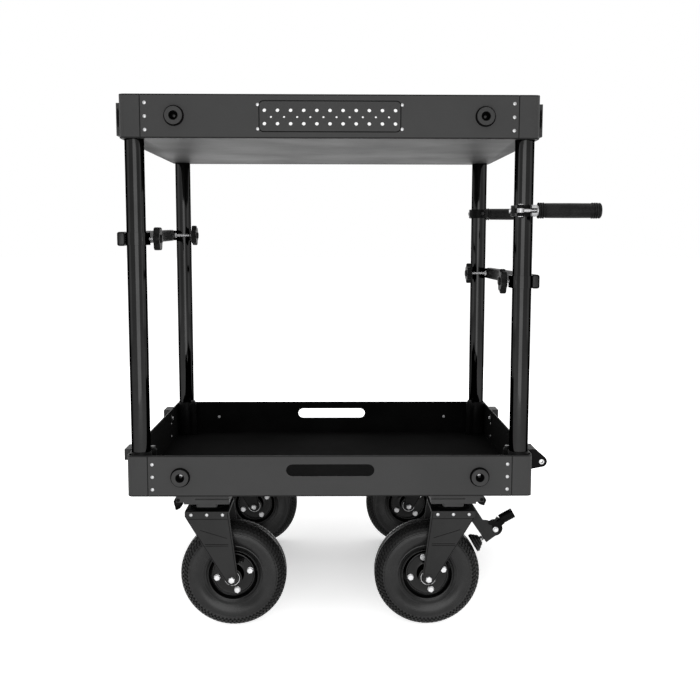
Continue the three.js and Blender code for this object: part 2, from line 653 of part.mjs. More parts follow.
// Handle core: eye, rod, forked collar and the tube inside the grip, pointing to +X from the pivot.
function handleCore() {
  const { eyeRadius, rodRadius, tipStart, tipRadius, gripStart, gripLength, slotHeight, coreRadius } = handle;
  const z = half(slotHeight) - gap;
  const eye = rodZ(eyeRadius, 0, 0, -z, z, facets.small);
  const rod = rodX(rodRadius, 0, gripStart + half(gripLength), 0, 0, facets.small);
  const collar = cut(rodX(tipRadius, tipStart, gripStart, 0, 0, facets.medium),
    block(tipStart - overrun, gripStart - overrun, -tipRadius, tipRadius, -half(slotHeight),
      half(slotHeight)));
  const tube = rodX(coreRadius, gripStart - overrun, gripStart + gripLength - overrun, 0, 0,
    facets.medium);
  const hole = rodZ(handle.pinRadius + gap, 0, 0, -z - overrun, z + overrun, facets.small);
  return cut(join(eye, rod, collar, tube), hole);
}

// Rubber grip: a sleeve closed at its outer end, with a collar at both ends.
function handleGrip() {
  const { gripStart, gripLength, gripRadius, collarRadius, collarLength, coreRadius } = handle;
  const bore = coreRadius + gap;
  const start = gripStart + gap;
  const end = gripStart + gripLength;
  const profile = [
    point(0, end - overrun + gap), point(bore, end - overrun + gap), point(bore, start),
    point(collarRadius, start), point(collarRadius, start + collarLength),
    point(gripRadius, start + collarLength), point(gripRadius, end - collarLength),
    point(collarRadius, end - collarLength), point(collarRadius, end), point(0, end),
  ];
  return new THREE.LatheGeometry(profile, facets.medium).rotateZ(-quarter);
}

// Assembly.
const cart = new THREE.Group();

function add(parent, name, geometry, material, x = 0, y = 0, z = 0) {
  const mesh = new THREE.Mesh(geometry, material);
  mesh.name = name;
  mesh.position.set(x, y, z);
  parent.add(mesh);
  return mesh;
}

function addTrays() {
  add(cart, "top_tray_pan", topPan(), paint);
  add(cart, "bottom_tray_pan", bottomPan(), paint);
  for (const [name, side] of [["left", -1], ["right", 1]]) {
    add(cart, `top_tray_${name}_end`, topEnd(side), paint);
    add(cart, `bottom_tray_${name}_end`, bottomEnd(side), paint);
    add(cart, `top_${name}_receiver`,
      spigotReceiver(side, tray.topHeight + receiver.heightInTop), paint);
    add(cart, `bottom_${name}_receiver`,
      spigotReceiver(side, tray.bottomHeight + receiver.heightInBottom), paint);
    for (const [row, y] of Object.entries(postYs)) {
      add(cart, `${row}_${name}_post`, postTube(side, y), gloss);
    }
  }
  add(cart, "accessory_plate", accessoryPlate(), black);
  add(cart, "eye_lug", eyeLug(), forkPaint);
}

function addCaster(row, name, side) {
  const inward = -side;
  const y = row === "front" ? caster.kingpinInset : tray.depth - caster.kingpinInset;
  const place = new THREE.Group();
  place.position.set(side * (halfWidth - caster.kingpinFromSide), y, 0);
  cart.add(place);
  const label = `${row}_${name}`;
  const frontward = row === "front";
  add(place, `${label}_caster_mount`, casterMount(inward, frontward), railPaint);
  add(place, `${label}_latch`, releaseLatch(inward, frontward), black);
  add(place, `${label}_fork`, side > 0 ? brakedFork() : forkBody(inward), forkPaint);
  add(place, `${label}_axle`, axleBolt(), zinc, inward * caster.trail, 0, wheel.radius);
  add(place, `${label}_rim`, wheelRim(), gloss, inward * caster.trail, 0, wheel.radius);
  add(place, `${label}_tyre`, tyre(), rubber, inward * caster.trail, 0, wheel.radius);
  if (side > 0) {
    add(place, `${label}_brake_shoe`, brakeShoe(), rubber);
    add(place, `${label}_brake_lever`, brakeLever(), black);
  }
}

function addSideBar(name, side) {
  const place = barPlaces[name];
  const front = tray.topHeight - place.drop;
  const heights = { front, rear: front + place.rise };
  add(cart, `${name}_side_bar`, sideBar(side, place), black, 0, 0, half(heights.front + heights.rear));
  for (const [row, towards] of [["front", 1], ["rear", -1]]) {
    add(cart, `${name}_${row}_strap`, strapClamp(towards), black, side * postX, postYs[row], heights[row]);
    add(cart, `${name}_${row}_knob`, starKnob(side, knobPlaces[name][row]), black, side * postX,
      boltYs[row], heights[row]);
  }
}

function addHandle(row, outward, z) {
  add(cart, `${row}_handle_clamp`, handleClamp(outward), aluminium, postX, postYs[row], z);
  const pivot = [postX - handle.pivotBack, postYs[row] + outward * handle.pivotOut, z];
  add(cart, `${row}_handle_core`, handleCore(), aluminium, ...pivot);
  add(cart, `${row}_handle_grip`, handleGrip(), gripRubber, ...pivot);
}

addTrays();
for (const [name, side] of [["left", -1], ["right", 1]]) {
  for (const row of ["front", "rear"]) addCaster(row, name, side);
}
addSideBar("left", -1);
addSideBar("right", 1);
addHandle("front", -1, tray.topHeight - handle.frontDrop);
addHandle("rear", 1, tray.topHeight - handle.rearDrop);

// The origin: on the floor, midway between the left rim blocks' faces and the grips' ends.
const reachLeft = halfWidth + rimBlock.proud;
const reachRight = postX - handle.pivotBack + handle.gripStart + handle.gripLength;
cart.position.set(-half(reachRight - reachLeft), -half(tray.depth), 0);

export default cart;
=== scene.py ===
# Camera cart: finish, small hardware, camera and studio. Places are in millimetres from the trays'
# middle (x), their front face (y) and the floor (z); at() turns them into the frame's metres.
import json
import math

import bmesh
import bpy
from mathutils import Matrix, Vector

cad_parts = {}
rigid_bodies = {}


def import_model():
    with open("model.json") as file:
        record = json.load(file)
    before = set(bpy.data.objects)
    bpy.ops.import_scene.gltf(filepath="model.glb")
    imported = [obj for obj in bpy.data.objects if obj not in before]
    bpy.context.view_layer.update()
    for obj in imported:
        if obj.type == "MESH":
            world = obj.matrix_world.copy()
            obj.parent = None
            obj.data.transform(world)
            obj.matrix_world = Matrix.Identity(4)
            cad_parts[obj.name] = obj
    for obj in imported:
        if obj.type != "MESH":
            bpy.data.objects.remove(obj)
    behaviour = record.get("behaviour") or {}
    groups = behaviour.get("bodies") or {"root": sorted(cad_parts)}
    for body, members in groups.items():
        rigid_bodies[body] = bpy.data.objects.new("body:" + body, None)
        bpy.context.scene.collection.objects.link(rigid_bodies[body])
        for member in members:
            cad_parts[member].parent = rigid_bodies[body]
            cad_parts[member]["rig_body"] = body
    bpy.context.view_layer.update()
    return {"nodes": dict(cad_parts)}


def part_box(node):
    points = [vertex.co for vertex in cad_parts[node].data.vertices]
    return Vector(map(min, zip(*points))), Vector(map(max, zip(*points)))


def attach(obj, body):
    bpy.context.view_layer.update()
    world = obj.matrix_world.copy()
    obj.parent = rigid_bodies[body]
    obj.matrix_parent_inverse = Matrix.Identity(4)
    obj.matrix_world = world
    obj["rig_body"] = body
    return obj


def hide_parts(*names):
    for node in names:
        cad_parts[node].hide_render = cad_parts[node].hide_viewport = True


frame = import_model()

MM = 0.001
PAN_LOW, PAN_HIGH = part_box("bottom_tray_pan")
MIDDLE = (PAN_LOW.x + PAN_HIGH.x) / 2
FRONT = PAN_LOW.y
DEPTH = (PAN_HIGH.y - PAN_LOW.y) / MM
TRAYS = {
    tray: tuple(corner.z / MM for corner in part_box(f"{tray}_tray_pan")) for tray in ("top", "bottom")
}
SIDES = {"left": -1, "right": 1}
ROWS = {"front": -1, "rear": 1}
SEAM = 367.0  # |x| of the seams between the end pieces and the panels
SHEET = 3.0  # thickness of the folded sheet
HALF_WIDTH = 408.8  # |x| of the outer face of the trays' end walls
KINGPIN = 250.3  # |x| of the casters' kingpins
WHEEL_RADIUS = 109.5
LEFT, RIGHT, FORWARD, BACK, UP, DOWN = (
    Vector(v) for v in ((-1, 0, 0), (1, 0, 0), (0, -1, 0), (0, 1, 0), (0, 0, 1), (0, 0, -1))
)


def at(x, y, z):
    """A place in metres, as the frame has it."""
    return Vector((MIDDLE + x * MM, FRONT + y * MM, z * MM))


def local(place):
    """The opposite of at(): a place of the frame in millimetres."""
    return Vector(((place.x - MIDDLE) / MM, (place.y - FRONT) / MM, place.z / MM))


def ends_of(node):
    """The lowest and the highest corner of a node's box."""
    return [local(corner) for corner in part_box(node)]


def centre_of(node):
    """The middle of a node's box."""
    low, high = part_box(node)
    return local((low + high) / 2)


def body_of(node):
    return frame["nodes"][node]["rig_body"]


# Mesh helpers. They work in millimetres.
def turned_to(axis):
    """The turn that takes the Z axis to the given one."""
    return UP.rotation_difference(axis).to_matrix() if axis != DOWN else Matrix.Rotation(math.pi, 3, "X")


def rounded(profile, radius, steps=3, closed=True):
    """Rounds the corners of an outline of (radius, along) points."""
    count = len(profile)
    result = []
    for i, corner in enumerate(profile):
        here = Vector(corner)
        if not closed and i in (0, count - 1):
            result.append(tuple(here))
            continue
        before, after = Vector(profile[i - 1]), Vector(profile[(i + 1) % count])
        back, on = before - here, after - here
        if min(back.length, on.length) < 1e-6 or abs(math.pi - back.angle(on)) < 0.3:
            result.append(tuple(here))
            continue
        reach = min(radius, back.length * 0.45, on.length * 0.45)
        start, end = here + back.normalized() * reach, here + on.normalized() * reach
        for k in range(steps + 1):
            t = k / steps
            result.append(tuple(start * (1 - t) ** 2 + here * 2 * t * (1 - t) + end * t * t))
    return result


def polygon(radius, sides):
    angles = (2 * math.pi * i / sides for i in range(sides))
    return [(radius * math.cos(angle), radius * math.sin(angle)) for angle in angles]


def placed(bm, outline, along, centre, turn):
    """Vertices of an (x, y) outline, at that height in a frame with the given centre and turn."""
    return [bm.verts.new(at(*(centre + turn @ Vector((x, y, along))))) for x, y in outline]


def joined(bm, rings):
    """Faces between rings that have as many vertices each."""
    for a, b in zip(rings, rings[1:]):
        for i in range(len(a)):
            j = (i + 1) % len(a)
            bm.faces.new([a[i], a[j], b[j], b[i]])


def capped(bm, rings):
    """A face at either end of the rings."""
    return [bm.faces.new(rings[0][::-1]), bm.faces.new(rings[-1])]


def lathe(bm, profile, centre, axis, segments=64, closed=True):
    """Turns an outline of (radius, along) points round an axis."""
    turn = turned_to(axis)
    rings = [
        placed(bm, [(0, 0)] if radius < 1e-6 else polygon(radius, segments), along, centre, turn)
        for radius, along in profile
    ]
    pairs = list(zip(rings, rings[1:] + rings[:1]))
    for a, b in pairs if closed else pairs[:-1]:
        if len(a) == 1 and len(b) == 1:
            continue
        for i in range(segments):
            j = (i + 1) % segments
            corners = [a[i % len(a)], a[j % len(a)], b[j % len(b)], b[i % len(b)]]
            bm.faces.new(list(dict.fromkeys(corners)))


def disc(bm, radius, height, centre, axis, segments=36, edge=0.5):
    """A flat round head with a rounded rim."""
    profile = rounded([(0, 0), (radius, 0), (radius, height), (0, height)], edge, 2, closed=False)
    lathe(bm, profile, Vector(centre), axis, segments, closed=False)


def band(bm, inner, outer, start, end, centre, axis, segments=40, edge=0.4, steps=2):
    """A ring of rectangular section with rounded corners, from start to end along the axis."""
    profile = rounded([(inner, start), (outer, start), (outer, end), (inner, end)], edge, steps)
    lathe(bm, profile, centre, axis, segments)


def rod(bm, radius, start, end, edge=0.4):
    """A rod with softened ends from start to end."""
    start, end = Vector(start), Vector(end)
    length = (end - start).length
    profile = rounded([(0, 0), (radius, 0), (radius, length), (0, length)], edge, closed=False)
    lathe(bm, profile, start, (end - start).normalized(), 32, closed=False)


def rivet(bm, centre, axis, radius, height):
    """A domed head that starts just under the surface."""
    steps, sunk = 6, -0.4
    dome = [(0, height)] + [
        (radius * math.sin(math.pi / 2 * i / steps), height * math.cos(math.pi / 2 * i / steps))
        for i in range(1, steps)
    ]
    lathe(bm, dome + [(radius, 0), (radius, sunk), (0, sunk)], Vector(centre), axis, 24, closed=False)


def merged(bm, part, edges, width):
    """Softens edges of a part and adds it. Its own mesh keeps the order of the faces the same each run."""
    bmesh.ops.bevel(part, geom=list(edges), offset=width * MM, segments=2, profile=0.5, affect="EDGES")
    mesh = bpy.data.meshes.new("part")
    part.to_mesh(mesh)
    part.free()
    bm.from_mesh(mesh)
    bpy.data.meshes.remove(mesh)


def prism(bm, outline, centre, axis, low, high, edge, turn=0.0):
    """A plate with an (x, y) outline across the axis, its rims softened."""
    part = bmesh.new()
    matrix = turned_to(axis) @ Matrix.Rotation(turn, 3, "Z")
    rings = [placed(part, outline, along, Vector(centre), matrix) for along in (low, high)]
    caps = capped(part, rings)
    joined(part, rings)
    merged(bm, part, [e for cap in caps for e in cap.edges], edge)


def rounded_box(width, height, radius, steps=5):
    """The outline of a rectangle with round corners."""
    corners = []
    for sx, sy, start in ((1, -1, -90), (1, 1, 0), (-1, 1, 90), (-1, -1, 180)):
        cx, cy = sx * (width / 2 - radius), sy * (height / 2 - radius)
        for i in range(steps + 1):
            angle = math.radians(start + 90 * i / steps)
            corners.append((cx + radius * math.cos(angle), cy + radius * math.sin(angle)))
    return corners


def hexagon(bm, centre, axis, across, height, turn):
    """A hexagonal head: the prism and the turned chamfer on its top."""
    radius = across / math.sqrt(3)
    prism(bm, polygon(radius, 6), centre, axis, 0, height * 0.86, 0.25, turn)
    crown = [(0, height), (radius * 0.8, height), (radius * 0.9, height * 0.8), (radius * 0.8, height * 0.5)]
    lathe(bm, crown + [(0, height * 0.5)], Vector(centre), axis, 36, closed=False)


def washer(bm, centre, axis, radius, height):
    disc(bm, radius, height, centre, axis, edge=height * 0.4)


def block(bm, low, high, edge):
    """A box with softened edges."""
    low, high = Vector(low), Vector(high)
    part = bmesh.new()
    bmesh.ops.create_cube(part, size=1)
    size, middle = high - low, (high + low) / 2
    for v in part.verts:
        v.co = at(*(middle + Vector(c * s for c, s in zip(v.co, size))))
    merged(bm, part, part.edges, edge)


def bead(bm, points, radius):
    """A thin round bead along a line of points."""
    points = [Vector(p) for p in points]
    rings = []
    for i, p in enumerate(points):
        along = (points[min(i + 1, len(points) - 1)] - points[max(i - 1, 0)]).normalized()
        rings.append(placed(bm, polygon(radius, 8), 0, p, turned_to(along)))
    joined(bm, rings)
    capped(bm, rings)


def linked(name, data):
    """A new object in the scene."""
    made = bpy.data.objects.new(name, data)
    bpy.context.scene.collection.objects.link(made)
    return made


def finished(name, bm, material, body, nodes=(), angle=35):
    """Makes a piece of the mesh, gives it its material and slot, and lets it ride on its body."""
    bmesh.ops.recalc_face_normals(bm, faces=bm.faces)
    mesh = bpy.data.meshes.new(name)
    bm.to_mesh(mesh)
    bm.free()
    mesh.shade_smooth()
    mesh.set_sharp_from_angle(angle=math.radians(angle))
    mesh.materials.append(material)
    obj = linked(name, mesh)
    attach(obj, body)
    if nodes:
        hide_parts(*nodes)
    return obj


def softened(node, edge, material, crease=32, skins=()):
    """Stands for a node: the same solid with its sharp edges rounded, as folded or cast metal has.

    A skin is a name, a material and a test: the faces that pass it become a piece of their own.
    """
    bm = bmesh.new()
    bm.from_mesh(frame["nodes"][node].data)
    bmesh.ops.remove_doubles(bm, verts=bm.verts, dist=0.01 * MM)
    bmesh.ops.dissolve_limit(bm, angle_limit=math.radians(0.5), verts=bm.verts, edges=bm.edges)
    sharp = [
        e for e in bm.edges
        if len(e.link_faces) == 2 and e.calc_face_angle(0) > math.radians(crease)
    ]
    bmesh.ops.bevel(bm, geom=sharp, offset=edge * MM, segments=2, profile=0.6, affect="EDGES",
                    clamp_overlap=False)
    for name, skin_material, belongs in skins:
        if not any(belongs(f) for f in bm.faces):
            continue
        skin = bm.copy()
        bmesh.ops.delete(bm, geom=[f for f in bm.faces if belongs(f)], context="FACES")
        bmesh.ops.delete(skin, geom=[f for f in skin.faces if not belongs(f)], context="FACES")
        finished(f"{node}_{name}", skin, skin_material, body_of(node))
    made = finished(f"{node}_shell", bm, material, body_of(node), (node,), 50)
    weighted = made.modifiers.new("even_faces", "WEIGHTED_NORMAL")
    weighted.keep_sharp = True
    weighted.weight = 100


# Node material helpers.
def new_material(name):
    material = bpy.data.materials.new(name)
    material.use_nodes = True
    return material, material.node_tree, material.node_tree.nodes["Principled BSDF"]


def feed(tree, target, inputs):
    """Links or sets the inputs of a node."""
    for key, value in inputs.items():
        if isinstance(value, bpy.types.NodeSocket):
            tree.links.new(value, target.inputs[key])
        else:
            target.inputs[key].default_value = value


def node(tree, kind, inputs=None, **settings):
    made = tree.nodes.new("ShaderNode" + kind)
    for key, value in settings.items():
        setattr(made, key, value)
    feed(tree, made, inputs or {})
    return made


def place_in_object(tree):
    return node(tree, "TexCoord").outputs["Object"]


def noise(tree, scale, detail, roughness=0.55, vector=None):
    made = node(tree, "TexNoise", {
        "Vector": vector or place_in_object(tree), "Scale": scale, "Detail": detail, "Roughness": roughness,
    })
    return made.outputs["Fac"]


def spread(tree, value, low, high, out_low=0.0, out_high=1.0, smooth=True):
    made = node(tree, "MapRange", {
        "Value": value, "From Min": low, "From Max": high, "To Min": out_low, "To Max": out_high,
    }, interpolation_type="SMOOTHSTEP" if smooth else "LINEAR", clamp=True)
    return made.outputs["Result"]


def maths(tree, operation, a, b=None):
    inputs = {0: a} if b is None else {0: a, 1: b}
    return node(tree, "Math", inputs, operation=operation).outputs[0]


def blend(tree, a, b, share):
    """The sum of two values, `share` of the first and the rest of the second."""
    return maths(tree, "ADD", maths(tree, "MULTIPLY", a, share),
                     maths(tree, "MULTIPLY", b, 1 - share))


def mixed(tree, factor, a, b):
    """A mix of two colours."""
    return node(tree, "Mix", {0: factor, 6: a, 7: b}, data_type="RGBA").outputs[2]


def grey(value, tint=(1.0, 1.0, 1.0)):
    return (value * tint[0], value * tint[1], value * tint[2], 1)


def bump(tree, height, distance):
    inputs = {"Height": height, "Distance": distance, "Strength": 1.0}
    return node(tree, "Bump", inputs).outputs["Normal"]


def surface(name, dark, light, roughness, patch, grain, depth, metallic=0.0, specular=0.5):
    """A finish whose colour, roughness and relief vary: patches over the whole piece and a fine grain."""
    material, tree, shader = new_material(name)
    patches = noise(tree, patch, 4.0)
    fine = noise(tree, grain, 2.0)
    both = blend(tree, patches, fine, 0.7)
    colour = mixed(tree, spread(tree, both, 0.35, 0.65), grey(dark), grey(light))
    feed(tree, shader, {
        "Base Color": colour, "Roughness": spread(tree, both, 0.3, 0.7, *roughness), "Metallic": metallic,
        "Specular IOR Level": specular, "Normal": bump(tree, fine, depth),
    })
    return material, tree, shader, colour


def near_any(tree, value, places, full, none):
    """1 within `full` of any of the places along an axis, 0 beyond `none`."""
    result = None
    for place in places:
        off = maths(tree, "ABSOLUTE", maths(tree, "SUBTRACT", value, place))
        near = spread(tree, off, full, none, 1.0, 0.0)
        result = near if result is None else maths(tree, "MAXIMUM", result, near)
    return result


def tray_paint(name="tray_powder_coat", dark=0.041, light=0.048, specular=0.09):
    """Satin powder coat, darker along the seams, and along the top and bottom edges as painted shade of the
    folded edges.
    """
    material, tree, shader, coat = surface(
        name, dark, light, roughness=(0.5, 0.62), patch=5.0, grain=1400.0, depth=0.00003, specular=specular,
    )
    rim_shade_and_seam_tone, rim_shade_and_seam_strength = 0.004, 0.8
    axes = node(tree, "SeparateXYZ", {"Vector": place_in_object(tree)})
    rim_heights = [edge * MM for heights in TRAYS.values() for edge in heights]
    seam_places = [MIDDLE + side * SEAM * MM for side in SIDES.values()]
    # Painted shade: a dark line within about 3 mm of the top and bottom edges, where the folded edges turn
    # from the light. The seam lines are dark joints.
    rim_shade = near_any(tree, axes.outputs["Z"], rim_heights, 2.0 * MM, 3.2 * MM)
    seams = near_any(tree, axes.outputs["X"], seam_places, 0.8 * MM, 1.4 * MM)
    lines = maths(tree, "MULTIPLY", maths(tree, "MAXIMUM", rim_shade, seams), rim_shade_and_seam_strength)
    feed(tree, shader, {"Base Color": mixed(tree, lines, coat, grey(rim_shade_and_seam_tone))})
    return material


def liner_paint():
    """The coat in the shade inside the trays, almost black."""
    return surface("tray_liner", 0.0028, 0.0052, roughness=(0.75, 0.9), patch=12.0, grain=700.0,
                   depth=0.00008, specular=0.01)[0]


def receiver_paint():
    return surface("receiver_coat", 0.041, 0.048, roughness=(0.5, 0.62), patch=20.0, grain=1500.0,
                   depth=0.00003, specular=0.07)[0]


def gloss_black(name="gloss_black", tone=0.021, roughness=(0.05, 0.09)):
    """Smooth black lacquer with a faint orange peel, which mirrors little at a grazing angle."""
    material, tree, shader, _ = surface(name, tone * 0.9, tone * 1.1, roughness, patch=9.0, grain=260.0,
                                        depth=0.000004, metallic=1.0)
    feed(tree, shader, {"Specular Tint": (0, 0, 0, 1)})
    return material


def black_steel():
    return surface("black_steel", 0.002, 0.005, roughness=(0.36, 0.5), patch=14.0, grain=1300.0,
                   depth=0.00004, specular=0.04)[0]


def caster_paint():
    """Satin paint of the forks, black, turning near-black above 251 mm as painted shade of the tray on the
    crown's top.
    """
    material, tree, shader, coat = surface("caster_coat", 0.024, 0.031, roughness=(0.44, 0.56), patch=10.0,
                                           grain=1100.0, depth=0.00005, specular=0.06)
    crown_shade_from, crown_shade_full, crown_shade_tone = 251.0, 251.6, 0.002
    axes = node(tree, "SeparateXYZ", {"Vector": place_in_object(tree)})
    # Painted shade: above 251 mm, on the crown's top, the coat goes near-black.
    top = spread(tree, axes.outputs["Z"], crown_shade_from * MM, crown_shade_full * MM)
    feed(tree, shader, {"Base Color": mixed(tree, top, coat, grey(crown_shade_tone))})
    return material


def rail_paint():
    return surface("rail_coat", 0.034, 0.046, roughness=(0.4, 0.52), patch=8.0, grain=1200.0,
                   depth=0.00004, specular=0.12)[0]


def dark_aluminium():
    return surface("dark_aluminium", 0.014, 0.024, roughness=(0.32, 0.45), patch=16.0, grain=1600.0,
                   depth=0.00002, metallic=0.3, specular=0.2)[0]


def brushed(name, dark, light, roughness):
    """Bare metal with fine scratches along X and a slow change of tone."""
    material, tree, shader = new_material(name)
    stretched = node(tree, "Mapping", {"Vector": place_in_object(tree), "Scale": (60, 1400, 1400)})
    lines = noise(tree, 1.0, 3.0, 0.6, stretched.outputs["Vector"])
    tone = noise(tree, 40.0, 3.0)
    both = blend(tree, lines, tone, 0.5)
    colour = mixed(tree, spread(tree, both, 0.3, 0.7), grey(dark), grey(light, (1, 1, 1.02)))
    feed(tree, shader, {
        "Base Color": colour, "Roughness": spread(tree, lines, 0.3, 0.7, *roughness), "Metallic": 1.0,
        "Normal": bump(tree, lines, 0.00001),
    })
    return material


def zinc():
    return brushed("bright_zinc", 0.42, 0.58, (0.3, 0.44))


def bare_aluminium():
    return brushed("bare_aluminium", 0.3, 0.42, (0.4, 0.52))


def rubber(name, dark, light, roughness, specular, grain=1800.0, depth=0.00008):
    """Matt rubber with a dusty bloom."""
    return surface(name, dark, light, roughness, 22.0, grain, depth, specular=specular)[0]


def knob_plastic():
    return surface("knob_plastic", 0.004, 0.008, roughness=(0.42, 0.55), patch=30.0, grain=900.0,
                   depth=0.00006, specular=0.06)[0]


# Trays.
def inside_tray(tray):
    """A test for the faces that look into a tray: its floor and the inner side of its walls."""
    low, high = TRAYS[tray]
    slack = 0.2

    def test(face):
        place = local(face.calc_center_median())
        return (
            abs(place.x) < HALF_WIDTH - SHEET + slack
            and SHEET - slack < place.y < DEPTH - SHEET + slack
            and low + SHEET - slack < place.z < high - slack
            and (face.normal.z > 0.9 or abs(face.normal.z) < 0.3)
        )

    return test


def below_tray(tray):
    """A test for the faces on the underside of a tray."""
    low = TRAYS[tray][0] * MM

    def test(face):
        return face.normal.z < -0.9 and face.calc_center_median().z < low + 0.3 * MM

    return test


def tray_rivets(metal):
    """Three domed rivets down each end of the front and rear panels, and two at each end of the plate."""
    bm = bmesh.new()
    column, steps, radius, height = 357.8, (15.9, 41.5, 67.2), 3.6, 1.3
    for tray, (base, _) in TRAYS.items():
        drop = 0.0 if tray == "top" else -1.5
        for side in SIDES.values():
            for step in steps:
                z = base + step + drop
                rivet(bm, (side * column, 0, z), FORWARD, radius, height)
                rivet(bm, (side * column, DEPTH, z), BACK, radius, height)
    column, steps, radius, height = 139.8, (18, 64), 3.3, 1.1
    for side in SIDES.values():
        for step in steps:
            rivet(bm, (side * column, 0, TRAYS["top"][0] + step), FORWARD, radius, height)
    finished("tray_rivets", bm, metal, "cart")


def accessory_plate(material, sealant):
    """The pad with its three rows of holes, drawn as filled curves, the flange behind it and the seal."""
    low, high = ends_of("accessory_plate")
    flange, up, pad_thickness, back_thickness, corner, bevel = 12.0, 8.0, 7.2, 3.0, 8, 0.5
    width, height = high.x - low.x - 2 * flange, high.z - low.z - 2 * up
    z = (low.z + high.z) / 2
    pitch, row_z = 25.4, z - 1
    rows = [(11, 3.5, row_z + pitch / 2), (11, 3.5, row_z - pitch / 2), (10, 2.1, row_z)]

    def drawn(name, outline, y0, y1):
        curve = bpy.data.curves.new(name, "CURVE")
        curve.dimensions = "2D"
        curve.fill_mode = "BOTH"
        curve.extrude = (y1 - y0) / 2 * MM - bevel * MM
        curve.bevel_depth = bevel * MM
        curve.bevel_resolution = 2
        curve.offset = -bevel * MM
        loops = [outline] + [
            [(pitch * (i - (count - 1) / 2) + px, row - z + py) for px, py in polygon(radius, 28)]
            for count, radius, row in rows for i in range(count)
        ]
        for loop in loops:
            spline = curve.splines.new("POLY")
            spline.points.add(len(loop) - 1)
            for point, (px, pz) in zip(spline.points, loop):
                point.co = (px * MM, pz * MM, 0, 1)
            spline.use_cyclic_u = True
        flat = linked(name, curve)
        bpy.context.view_layer.update()
        mesh = bpy.data.meshes.new_from_object(flat.evaluated_get(bpy.context.evaluated_depsgraph_get()))
        bpy.data.objects.remove(flat)
        mesh.transform(Matrix.Translation(at(0, (y0 + y1) / 2, z)) @ Matrix.Rotation(math.pi / 2, 4, "X"))
        return mesh

    bm = bmesh.new()
    bm.from_mesh(drawn("pad", rounded_box(width, height, corner), low.y, low.y + pad_thickness))
    whole = rounded_box(high.x - low.x, high.z - low.z, corner)
    bm.from_mesh(drawn("back", whole, high.y - back_thickness, high.y))
    finished("accessory_plate_drilled", bm, material, "cart", ("accessory_plate",))
    seal, gap = bmesh.new(), 0.7
    outline = rounded_box(width + 2 * gap, height + 2 * gap, 8.6, 8)
    line = [Vector((px, 0.1, z + pz)) for px, pz in outline]
    bead(seal, line + line[:1], 0.9)
    finished("accessory_plate_seal", seal, sealant, "cart")


def receivers(coat, dark, steel):
    """Turned receivers with a bored flange, the stop in each bore and the detent pin before it; the body and
    the stop are near-black, painted shade of the bore and of the flange's side wall.
    """
    for tray in TRAYS:
        for side in SIDES:
            name = f"{tray}_{side}_receiver"
            low, high = ends_of(name)
            middle = (low + high) / 2
            start = Vector((middle.x, low.y, middle.z))
            radius, length, proud = (high.z - low.z) / 2, high.y - low.y, -low.y
            # The face ends 2.6 mm short of the flange's edge, so the near-black body shows round it as a
            # painted ring of shade.
            rim = radius - 2.6
            bm = bmesh.new()
            face = [(9.0, 2.4), (9.0, 0.4), (9.6, 0), (rim - 0.8, 0), (rim, 0.8), (rim, 2.4)]
            lathe(bm, rounded(face, 0.4), start, BACK)
            finished(f"{name}_flange", bm, coat, "cart", (name,))
            bm = bmesh.new()
            profile = [
                (8.0, length), (8.0, 0.9), (9.2, 0.9), (9.2, 1.6), (rim, 1.6), (radius, proud - 1.4),
                (radius, proud - 0.2), (15.0, proud - 0.2), (15.0, length),
            ]
            lathe(bm, rounded(profile, 0.3), start, BACK)
            finished(f"{name}_body", bm, dark, "cart")
            bm = bmesh.new()
            rod(bm, 7.9, start + BACK * 18, start + BACK * 24)
            finished(f"{name}_stop", bm, dark, "cart")
            bm = bmesh.new()
            rod(bm, 3.2, start + BACK * 12, start + BACK * 20, edge=1.0)
            finished(f"{name}_pin", bm, steel, "cart")


def posts(lacquer, cap):
    """Round posts with a chamfered end and a pressed-in cap."""
    for row in ROWS:
        for side in SIDES:
            name = f"{row}_{side}_post"
            low, high = ends_of(name)
            middle = (low + high) / 2
            radius, height, wall = (high.y - low.y) / 2, high.z - low.z, 2.5
            foot, bore = Vector((middle.x, middle.y, low.z)), radius - 2.7
            bm = bmesh.new()
            band(bm, radius - wall, radius, 0, height - 0.6, foot, UP, 96, 0.8, 3)
            finished(f"{name}_tube", bm, lacquer, "cart", (name,))
            bm = bmesh.new()
            lid = [
                (0, height), (radius - 3.4, height), (bore, height - 0.8), (bore, height - 8), (0, height - 8),
            ]
            lathe(bm, lid, foot, UP, closed=False)
            finished(f"{name}_cap", bm, cap, "cart")


